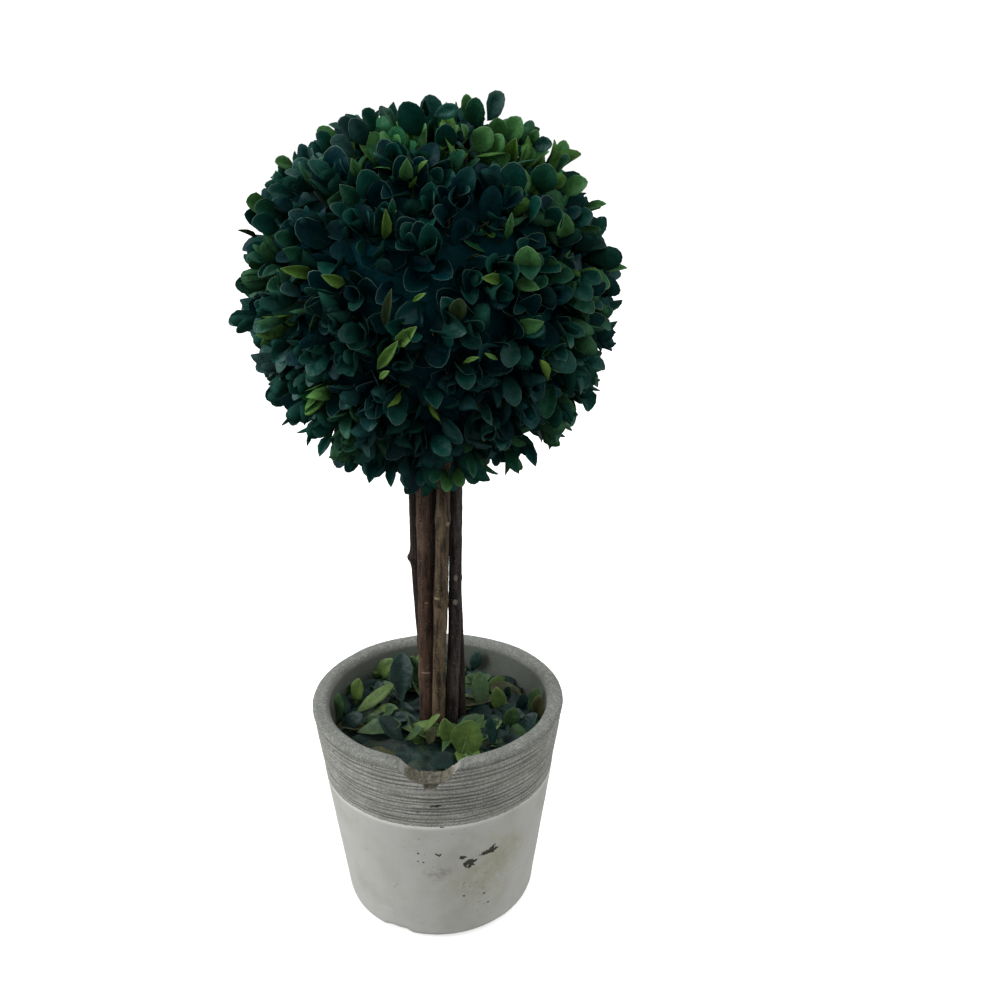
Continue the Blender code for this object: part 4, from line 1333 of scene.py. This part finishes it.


# %% [markdown]
# Each spray has one tint, and most sprays of a clump share it. The share of fresh sprays rises towards the upper
# right and a little towards the left, and that of shaded ones in front, as in the photograph: the shaded deep
# tint there is painted shade. The rest is dealt out by a seeded draw.

# %% A tint for each spray
TINT_NAMES = list(TINTS)
SHARES = {
    # The share of a tint all over, and how much it gains at the upper right, at the left and in front.
    # Painted shade: the shaded deep tint gains only in front.
    "shaded_deep": (0.0, 0.0, 0.0, 0.56),
    "deep": (0.62, -0.44, -0.26, -0.38),
    "teal": (0.22, -0.22, -0.08, -0.10),
    "moss": (0.13, 0.49, 0.30, -0.08),
    "fresh": (0.020, 0.85, 0.05, 0.0),
    "lime": (0.0, 0.0, 0.0, 0.0),
    "slate": (0.012, 0.0, 0.0, 0.0),
    "brown": (0.0, 0.0, 0.0, 0.0),
}
# Lighter tints gain at the upper right and the left, partly the leaves' own colour and partly painted light.
sunny = np.clip(direction @ unit(np.array([0.39, -0.29, 0.87])), 0, 1) ** 7
leftish = np.clip(direction @ unit(np.array([-0.95, -0.30, 0.0])), 0, 1) ** 4
front_shade = np.clip(direction @ unit(np.array([0.07, -0.97, -0.14])), 0, 1) ** 5
gains = together(1.0, sunny, leftish, front_shade)
shares = gains @ np.array([SHARES[name] for name in TINT_NAMES]).T
limits = np.cumsum(shares, axis=1) / shares.sum(axis=1, keepdims=True)
alike = draw.uniform(0, 1, SPRIGS) < 0.6
luck = np.where(alike, draw.uniform(0, 1, CLUMPS)[clump_of], draw.uniform(0, 1, SPRIGS))
spray_tint = (luck[:, None] > limits).sum(axis=1)
print({name: int((spray_tint == number).sum()) for number, name in enumerate(TINT_NAMES)})

# %% The leaves of the ball
BALL_LEAF = unit_leaf(widest=0.62, tip=0.55)
FOLDED_LEAF = unit_leaf(widest=0.50, tip=0.95)
LIME = TINT_NAMES.index("lime")


def ball_leaves(folded, *where):
    """The points of leaves of the ball, each placed from the plain leaf or from the folded one."""
    plain, narrow = (place_leaves(leaf, *where) for leaf in (BALL_LEAF, FOLDED_LEAF))
    return np.where(folded[:, None, None], narrow, plain)


droop = np.array([0.0, 0.0, -1.0]) * (0.07 + 0.14 * np.clip(-direction[:, 2:], 0, 1))
leaves = []
for number, (below, opening, long, wide) in enumerate(PAIRS):
    out = side if number % 2 == 0 else np.cross(axis, side)
    for way in (1.0, -1.0):
        angle = np.radians(opening + draw.normal(0, 10, SPRIGS))
        away = turned(way * out, axis, draw.normal(0, 0.20, SPRIGS))
        cosine, sine = np.cos(angle)[:, None], np.sin(angle)[:, None]
        forward = cosine * axis + sine * away
        upper = sine * axis - cosine * away
        roll = draw.normal(0, 0.28, SPRIGS)
        flipped = draw.uniform(0, 1, SPRIGS) < 0.05
        upper = turned(upper, unit(forward), np.where(flipped, roll + 2.6, roll))
        joint = tip - axis * below + away * 0.0005
        grown = size * draw.normal(1.0, 0.10, SPRIGS)
        width = wide * grown * draw.normal(1.0, 0.09, SPRIGS)
        tint = np.where(draw.uniform(0, 1, SPRIGS) < 0.020, LIME, spray_tint)
        # The inner pairs take the darker blade colour, partly for age and partly as painted shade; 15 in 100
        # swap.
        darker_blade = (number >= 2) ^ (draw.uniform(0, 1, SPRIGS) < 0.15)
        leaves.append((joint, forward + droop, upper, long * grown, width, tint, darker_blade))
root, forward, upper, length, width, tint, darker_blade = (np.concatenate(rows) for rows in zip(*leaves))
total = len(root)
form = {
    "cup": draw.normal(0.20, 0.12, total),
    "fold": draw.normal(0.07, 0.06, total),
    "bend": draw.normal(-0.04, 0.12, total),
    "wave": draw.normal(0.0, 0.045, total),
}
fleck = tint == LIME
width = np.where(fleck, 0.45 * width, width)
length = np.where(fleck, 0.75 * length, length)
form["fold"] = np.where(fleck, form["fold"] + 0.25, form["fold"])
leaf_points = ball_leaves(fleck, root, forward, upper, length, width, form)
clear = stick_clearance(leaf_points).min(axis=1) > 0.0008
low_enough = np.linalg.norm(leaf_points - BALL_CENTRE, axis=-1).max(axis=1) < BALL_RADIUS + 0.0050
seen_middle = 0.5 * (tip_place + stalk_place)
shown = clear & low_enough & ~over_gap(leaf_points)
shown &= ~stand_before(leaf_points, seen_tip, seen_stalk, seen_middle, seen_width, BESIDE, AHEAD)
# Half the leaves get the pale margin, partly a painted highlight.
rimmed = draw.uniform(0, 1, total) < 0.50
print("leaves grown", total, "kept", int(shown.sum()))

# %% The leaves with places, added to the others
FOLDED_FROM = 0.14
seen_count = len(SEEN_LEAVES)
seen_folded = seen_fold > FOLDED_FROM
tilt = draw.normal(0, 1.0, (seen_count, 3)) * np.where(seen_folded, 0.40, 0.15)[:, None]
seen_form = {
    "cup": draw.normal(0.10, 0.03, seen_count),
    "fold": seen_fold,
    "bend": draw.normal(-0.05, 0.04, seen_count),
    "wave": draw.normal(0.0, 0.02, seen_count),
}
seen_way = tip_place - stalk_place
facing = unit(eye - tip_place) + [0.0, 0.0, 0.25] + tilt
seen_points = ball_leaves(seen_folded, stalk_place, seen_way, facing, seen_length, seen_width, seen_form)
leaf_points = np.concatenate([leaf_points[shown], seen_points])
tint = np.concatenate([tint[shown], [TINT_NAMES.index(leaf[4]) for leaf in SEEN_LEAVES]])
darker_blade = np.concatenate([darker_blade[shown], np.zeros(seen_count, bool)])
rimmed = np.concatenate([rimmed[shown], np.ones(seen_count, bool)])
for number, name in enumerate(TINT_NAMES):
    chosen = tint == number
    shape = joined(leaf_points[chosen], BALL_LEAF[3])
    kinds = leaf_kinds(BALL_LEAF, darker_blade[chosen], rimmed[chosen])
    numbers = {"along": np.tile(BALL_LEAF[1], int(chosen.sum()))}
    make_piece("leaves_" + name, shape, finishes[name], ["boxwood_ball"], kinds, numbers)

# %% [markdown]
# The twigs are thin five-sided stems from inside the core to each sprig's tip, bowed a little. Few of them
# show, as thin dark lines in the gaps between the leaves.

# %% The twigs
TWIG_SIDES = 5
TWIG_RADIUS = 0.00055


def twig_rings(start, end, bow):
    """Rings of points along many bowed twigs, as (twig, ring, side, 3): a straight line plus a half sine."""
    share = np.linspace(0, 1, 5)
    way = unit(end - start)
    across = any_side(way)
    third = np.cross(way, across)
    turn = round_turn(TWIG_SIDES)
    middle = start[:, None, :] + (end - start)[:, None, :] * share[None, :, None]
    middle = middle + bow[:, None, :] * np.sin(np.pi * share)[None, :, None]
    radius = TWIG_RADIUS * (1.15 - 0.6 * share)[None, :, None, None]
    around = np.cos(turn)[None, :, None] * across[:, None, :] + np.sin(turn)[None, :, None] * third[:, None, :]
    return middle[:, :, None, :] + radius * around[:, None, :, :]


twig_end = tip + 0.0015 * axis
twig_bow = 0.0012 * draw.normal(0, 1, tip.shape)
rings = twig_rings(start, twig_end, twig_bow)
clear = stick_clearance(rings).min(axis=(1, 2)) > 0.0006
twig_middle = rings[:, 2:].reshape(SPRIGS, -1, 3)
clear &= ~over_gap(twig_middle)
clear &= ~stand_before(twig_middle, seen_tip, seen_stalk, seen_middle, seen_width, BESIDE, AHEAD)
twig_points = np.concatenate([rings.reshape(SPRIGS, -1, 3), start[:, None], twig_end[:, None]], axis=1)
twig_faces = closed_grid(rings[0], start[0], twig_end[0])[1]
twig = Finish("twig_bark", Specular_IOR_Level=0.2)
twig_cloud = twig.noise(0.003, 3.0)
twig_colour = twig.blend(twig_cloud, seen(34, 44, 30), seen(62, 66, 44))
twig_relief = twig.bump(twig_cloud, 0.0003)
twig_finish = twig.done(Base_Color=twig_colour, Roughness=0.6 + 0.2 * twig_cloud, Normal=twig_relief)
make_piece("ball_twigs", joined(twig_points[clear], twig_faces), [twig_finish], ["boxwood_ball"])

# %% [markdown]
# ## The filling
# Foam fills the pot and grips the sticks. A mat of leaves soaked in glue covers it, dark and wet-looking, and
# looser leaves lie on the mat. The foam and the mat are turned shapes with a rumpled top. The loose leaves are
# made as the ball's are, from a longer leaf with a pointed tip. Those that the photograph shows clearly have
# places, and the rest is strewn by a seeded draw, clear of the sticks and of the pot's wall.

# %% Foam and mat
FOAM_TOP = 0.0835
MAT_TOP = 0.0895
CLEARANCE = 0.0004


def turned_fill(low, high, rumple, seed):
    """A filling between two heights that follows the pot's inner wall, with a rumpled top.

    Its profile goes out along the underside, up the wall and back in along the top. The rumple is noise in
    height that dies out at the wall's foot.
    """
    wall_low, wall_high = inner_radius(low) - CLEARANCE, inner_radius(high) - CLEARANCE
    out = np.linspace(0.003, wall_low - 0.002, 8)
    back = np.linspace(wall_high - 0.0006, 0.002, 46)
    rows = np.concatenate([out, [wall_low, wall_high], back])
    level = np.repeat([low, low + 0.002, high - 0.001, high], [len(out), 1, 1, len(back)])
    flat = polar(rows[:, None], round_turn(180), level[:, None])
    lift = noise(flat, 0.009, seed) + 0.6 * noise(flat, 0.004, seed + 1) + 0.25 * noise(flat, 0.0018, seed + 2)
    on_top = (np.arange(len(rows)) > len(out) + 1)[:, None]
    flat[..., 2] += rumple * lift * on_top
    return flat, (0.0, 0.0, low), (0.0, 0.0, high)


foam = Finish("floral_foam", Specular_IOR_Level=0.1)
foam_cells = foam.cells(0.0012)
foam_colour = foam.blend(foam.noise(0.006), seen(58, 70, 56), seen(80, 92, 70))
foam_relief = foam.bump(foam_cells, 0.0006)
foam_finish = foam.done(Base_Color=foam_colour, Roughness=0.9 + 0.05 * foam_cells, Normal=foam_relief)
foam_shape = closed_grid(*turned_fill(POT_FLOOR + 0.0003, FOAM_TOP, 0.0004, 401))
make_piece("foam_filling", foam_shape, [foam_finish], ["foam_block"])

mat = Finish("glued_leaf_mat", Specular_IOR_Level=0.5)
mat_cloud = mat.noise(0.006, 4.0, 0.6)
mat_flake = mat.cells(0.007, (1.0, 1.0, 0.5))
mat_colour = mat.blend(mat.between(mat_cloud, 0.35, 0.65), seen(25, 44, 43), seen(46, 67, 61))
mat_colour = mat.blend(mat.between(mat_flake, 0.45, 0.7) * 0.5, mat_colour, seen(60, 76, 48))
mat_relief = mat.bump(mat_flake, 0.0010, mat.bump(mat_cloud, 0.0012))
mat_finish = mat.done(Base_Color=mat_colour, Roughness=0.28 + 0.3 * mat_cloud, Normal=mat_relief)
mat_shape = closed_grid(*turned_fill(FOAM_TOP + 0.0009, MAT_TOP, 0.0007, 411))
make_piece("glued_mat", mat_shape, [mat_finish], ["leaf_bed"])

# %% Finishes of the loose leaves
LITTER_TINTS = {
    # Young blade, darker blade, margin and underside, as for the ball.
    "bright": (seen(98, 125, 60), seen(78, 106, 54), seen(140, 158, 108), seen(110, 132, 72)),
    "mid": (seen(68, 96, 54), seen(50, 80, 50), seen(102, 126, 84), seen(80, 106, 62)),
    "dark": (seen(30, 60, 52), seen(18, 45, 44), seen(60, 88, 76), seen(38, 66, 54)),
    "brown": (seen(74, 77, 46), seen(56, 59, 40), seen(116, 114, 78), seen(86, 84, 56)),
}
LITTER_NAMES = list(LITTER_TINTS)


def glued(name, colour, other, roughness, shine):
    """A loose leaf's face: mottled, with fine relief, and glossy where the glue has dried on it."""
    leaf = Finish(name, Specular_IOR_Level=shine)
    mottle = leaf.noise(0.0035, 4.0, 0.6)
    fine = leaf.noise(0.0009, 2.0)
    tone = leaf.blend(leaf.between(mottle, 0.35, 0.7), colour, other)
    relief = leaf.bump(mottle, 0.0007, leaf.bump(fine, 0.00015))
    return leaf.done(Base_Color=tone, Roughness=roughness + 0.3 * mottle, Normal=relief)


def litter_finishes(tint):
    """The four finishes of one tint of loose leaf."""
    young, darker_blade, margin, under = LITTER_TINTS[tint]
    return [
        glued(f"litter_{tint}_young", young, darker_blade, 0.30, 0.32),
        glued(f"litter_{tint}_older", darker_blade, young, 0.30, 0.32),
        glued(f"litter_{tint}_margin", margin, under, 0.5, 0.2),
        glued(f"litter_{tint}_underside", under, young, 0.55, 0.2),
    ]


# %% Loose leaves that the photograph shows one by one
SEEN_LITTER = (
    # The stalk and the tip in the picture, width and length in millimetres, and tint.
    ((461, 757), (472, 720), 13.8, 23.0, "bright"),
    ((407, 737), (452, 755), 8.0, 22.0, "bright"),
    ((419, 737), (441, 715), 6.5, 17.0, "bright"),
    ((449, 747), (444, 718), 6.0, 16.0, "bright"),
    ((428, 745), (434, 728), 5.0, 11.0, "brown"),
    ((405, 740), (425, 730), 5.5, 12.0, "mid"),
    ((355, 714), (394, 684), 6.4, 20.0, "bright"),
    ((355, 706), (360, 677), 6.2, 16.0, "bright"),
    ((373, 680), (391, 657), 8.0, 16.0, "bright"),
    ((370, 677), (361, 665), 5.5, 10.0, "mid"),
    ((337, 723), (345, 690), 6.0, 18.0, "mid"),
    ((350, 700), (347, 681), 4.5, 12.0, "mid"),
    ((373, 712), (399, 710), 6.5, 13.0, "bright"),
    ((383, 720), (396, 705), 5.0, 11.0, "mid"),
    ((390, 688), (399, 708), 5.0, 12.0, "bright"),
    ((402, 698), (402, 652), 11.0, 21.0, "dark"),
    ((416, 690), (413, 655), 7.5, 19.0, "mid"),
    ((355, 730), (386, 737), 3.2, 15.0, "brown"),
    ((351, 737), (403, 746), 9.0, 22.0, "dark"),
    ((404, 741), (376, 719), 9.0, 17.0, "dark"),
    ((340, 727), (362, 715), 7.5, 14.0, "dark"),
    ((362, 724), (380, 716), 6.0, 12.0, "mid"),
    ((396, 752), (426, 767), 7.5, 16.0, "dark"),
    ((460, 756), (431, 767), 8.0, 15.0, "dark"),
    ((488, 673), (521, 684), 6.5, 19.0, "mid"),
    ((500, 713), (496, 687), 6.5, 16.0, "bright"),
    ((482, 712), (479, 671), 8.0, 20.0, "mid"),
    ((474, 690), (489, 675), 7.0, 14.0, "mid"),
    ((472, 671), (479, 652), 6.0, 14.0, "dark"),
    ((508, 732), (514, 706), 7.0, 16.0, "mid"),
    ((518, 716), (524, 694), 5.5, 14.0, "dark"),
    ((529, 713), (540, 688), 6.5, 16.0, "mid"),
    ((540, 720), (541, 695), 6.0, 16.0, "brown"),
    ((521, 735), (535, 714), 7.5, 15.0, "dark"),
    ((466, 713), (492, 711), 7.0, 14.0, "dark"),
    ((491, 748), (498, 714), 7.0, 19.0, "dark"),
    ((505, 700), (512, 686), 5.0, 12.0, "dark"),
)
LITTER_LEVEL = 0.0911
litter_stalk, litter_tip = (line_of_sight(column(SEEN_LITTER, end)) for end in (0, 1))
placed_width, placed_length = column(SEEN_LITTER, 2) / 1000, column(SEEN_LITTER, 3) / 1000
placed_root = eye + litter_stalk * ((LITTER_LEVEL - eye[2]) / litter_stalk[:, 2:])
placed_end = at_distance(litter_tip, placed_root, placed_length, nearer=True)
from_axis = np.linalg.norm(placed_end[:, :2], axis=1)
room = inner_radius(placed_end[:, 2]) - 0.0016
placed_end[:, :2] *= np.minimum(1.0, room / from_axis)[:, None]
placed_litter = [LITTER_NAMES.index(tint) for *_, tint in SEEN_LITTER]
print("loose leaves with a place", len(SEEN_LITTER))

# %% Strewn loose leaves, and leaves that lean on the wall
STREWN, LEANING = 240, 22
CHIP_PLACE, CHIP_ROOM, CHIP_LEVEL = (-0.002, -0.053), 0.0165, 0.0930
LITTER_LEAF = unit_leaf(widest=0.54, tip=0.70)
draw = np.random.default_rng(SEED + 5)
ring = 0.0475 * np.sqrt(draw.uniform(0.02, 1.0, STREWN))
turn = draw.uniform(0, 2 * np.pi, STREWN)
heading = draw.uniform(0, 2 * np.pi, STREWN)
tilt = np.radians(np.abs(draw.normal(2, 6, STREWN)))
long = draw.uniform(0.016, 0.023, STREWN)
way = polar(np.cos(tilt), heading, np.sin(tilt))
layer = draw.uniform(0.0, 1.0, STREWN)
middle = polar(ring, turn, MAT_TOP + 0.0004 + 0.0034 * layer)
strewn_root = middle - way * (long / 2)[:, None] * [1, 1, 0]
strewn_tint = np.where(layer < 0.68, 2, np.where(draw.uniform(0, 1, STREWN) < 0.6, 1, 0))
strewn_tint = np.where(draw.uniform(0, 1, STREWN) < 0.05, 3, strewn_tint)

lean_turn = 2 * np.pi * (np.arange(LEANING) + draw.uniform(-0.35, 0.35, LEANING)) / LEANING
lean_foot = draw.uniform(0.040, 0.045, LEANING)
lean_height = draw.uniform(0.0945, 0.1015, LEANING)
lean_shift = draw.uniform(-0.16, 0.16, LEANING)
lean_root = polar(lean_foot, lean_turn, 0.0905)
lean_reach = inner_radius(lean_height) - 0.0015
lean_way = polar(lean_reach, lean_turn + lean_shift, lean_height) - lean_root
lean_long = np.linalg.norm(lean_way, axis=1)
lean_tint = draw.choice([0, 1, 1, 2, 2], LEANING)

# %% All the loose leaves
placed = len(SEEN_LITTER)
root = np.concatenate([placed_root, strewn_root, lean_root])
forward = np.concatenate([placed_end - placed_root, way, lean_way])
length = np.concatenate([np.linalg.norm(placed_end - placed_root, axis=1), long, lean_long])
strewn_width, lean_width = long * draw.uniform(0.38, 0.54, STREWN), draw.uniform(0.006, 0.009, LEANING)
width = np.concatenate([1.15 * placed_width, strewn_width, lean_width])
tint = np.concatenate([placed_litter, strewn_tint, lean_tint])
total = len(root)
leaning = draw.normal(0, 0.28, (total, 3)) * [1, 1, 0]
upper = np.array([0.0, -0.30, 1.0]) + leaning
upper[:placed] = 0.6 * unit(eye - placed_root) + [0, 0, 0.6] + 0.6 * leaning[:placed]
upper[placed + STREWN :] = [0.0, 0.0, 1.0] - 1.2 * lean_root * [1, 1, 0] / lean_foot[:, None]
form = {
    "cup": draw.normal(0.05, 0.08, total),
    "fold": np.abs(draw.normal(0.22, 0.12, total)),
    "bend": draw.normal(0.0, 0.11, total),
    "wave": draw.normal(0.0, 0.06, total),
}


def past_wall(points):
    """How far each leaf would stand in the pot's wall: the most that a point of it is past the inner face."""
    flat_reach = np.linalg.norm(points[..., :2], axis=-1)
    return (flat_reach - inner_radius(points[..., 2]) + CLEARANCE).max(axis=1)


form["fold"][:placed] *= 0.45
litter_points = place_leaves(LITTER_LEAF, root, forward, upper, length, width, form)
outwards = unit(litter_points.mean(axis=1) * [1, 1, 0])
root = root - 1.02 * np.clip(past_wall(litter_points), 0, None)[:, None] * outwards
litter_points = place_leaves(LITTER_LEAF, root, forward, upper, length, width, form)
inside = past_wall(litter_points) < 0.5 * CLEARANCE
clear = stick_clearance(litter_points).min(axis=1) > 0.0002
in_chip = np.linalg.norm(litter_points[..., :2] - CHIP_PLACE, axis=-1) < CHIP_ROOM
shown = inside & clear & ~(in_chip & (litter_points[..., 2] > CHIP_LEVEL)).any(axis=1)
placed_middle = 0.5 * (placed_root + placed_end)
ends = column(SEEN_LITTER, 1), column(SEEN_LITTER, 0)
shown &= ~stand_before(litter_points, *ends, placed_middle, placed_width, 1.0, 0.0008)
shown[:placed] = inside[:placed]
# Half the loose leaves take the darker blade, the other half the pale margin, partly a painted highlight.
folded = draw.uniform(0, 1, total) < 0.5
for number, name in enumerate(LITTER_NAMES):
    chosen = shown & (tint == number)
    shape = joined(litter_points[chosen], LITTER_LEAF[3])
    kinds = leaf_kinds(LITTER_LEAF, folded[chosen], ~folded[chosen])
    make_piece("litter_" + name, shape, litter_finishes(name), ["leaf_bed"], kinds)
print("loose leaves kept", int(shown.sum()), "of", total)

# %% The midribs of the loose leaves
RIB = unit_rib()
rib_form = {part: values[shown] for part, values in form.items()}
rib_where = [values[shown] for values in (root, forward, upper, length, width)]
rib_shape = joined(place_leaves(RIB, *rib_where, rib_form), RIB[3])
rib_kinds = np.concatenate([np.repeat(tint[shown], len(group)) for group in RIB[3]])
rib_finishes = [glued(f"litter_{name}_rib", *LITTER_TINTS[name][2:], 0.45, 0.2) for name in LITTER_NAMES]
make_piece("litter_ribs", rib_shape, rib_finishes, ["leaf_bed"], rib_kinds)
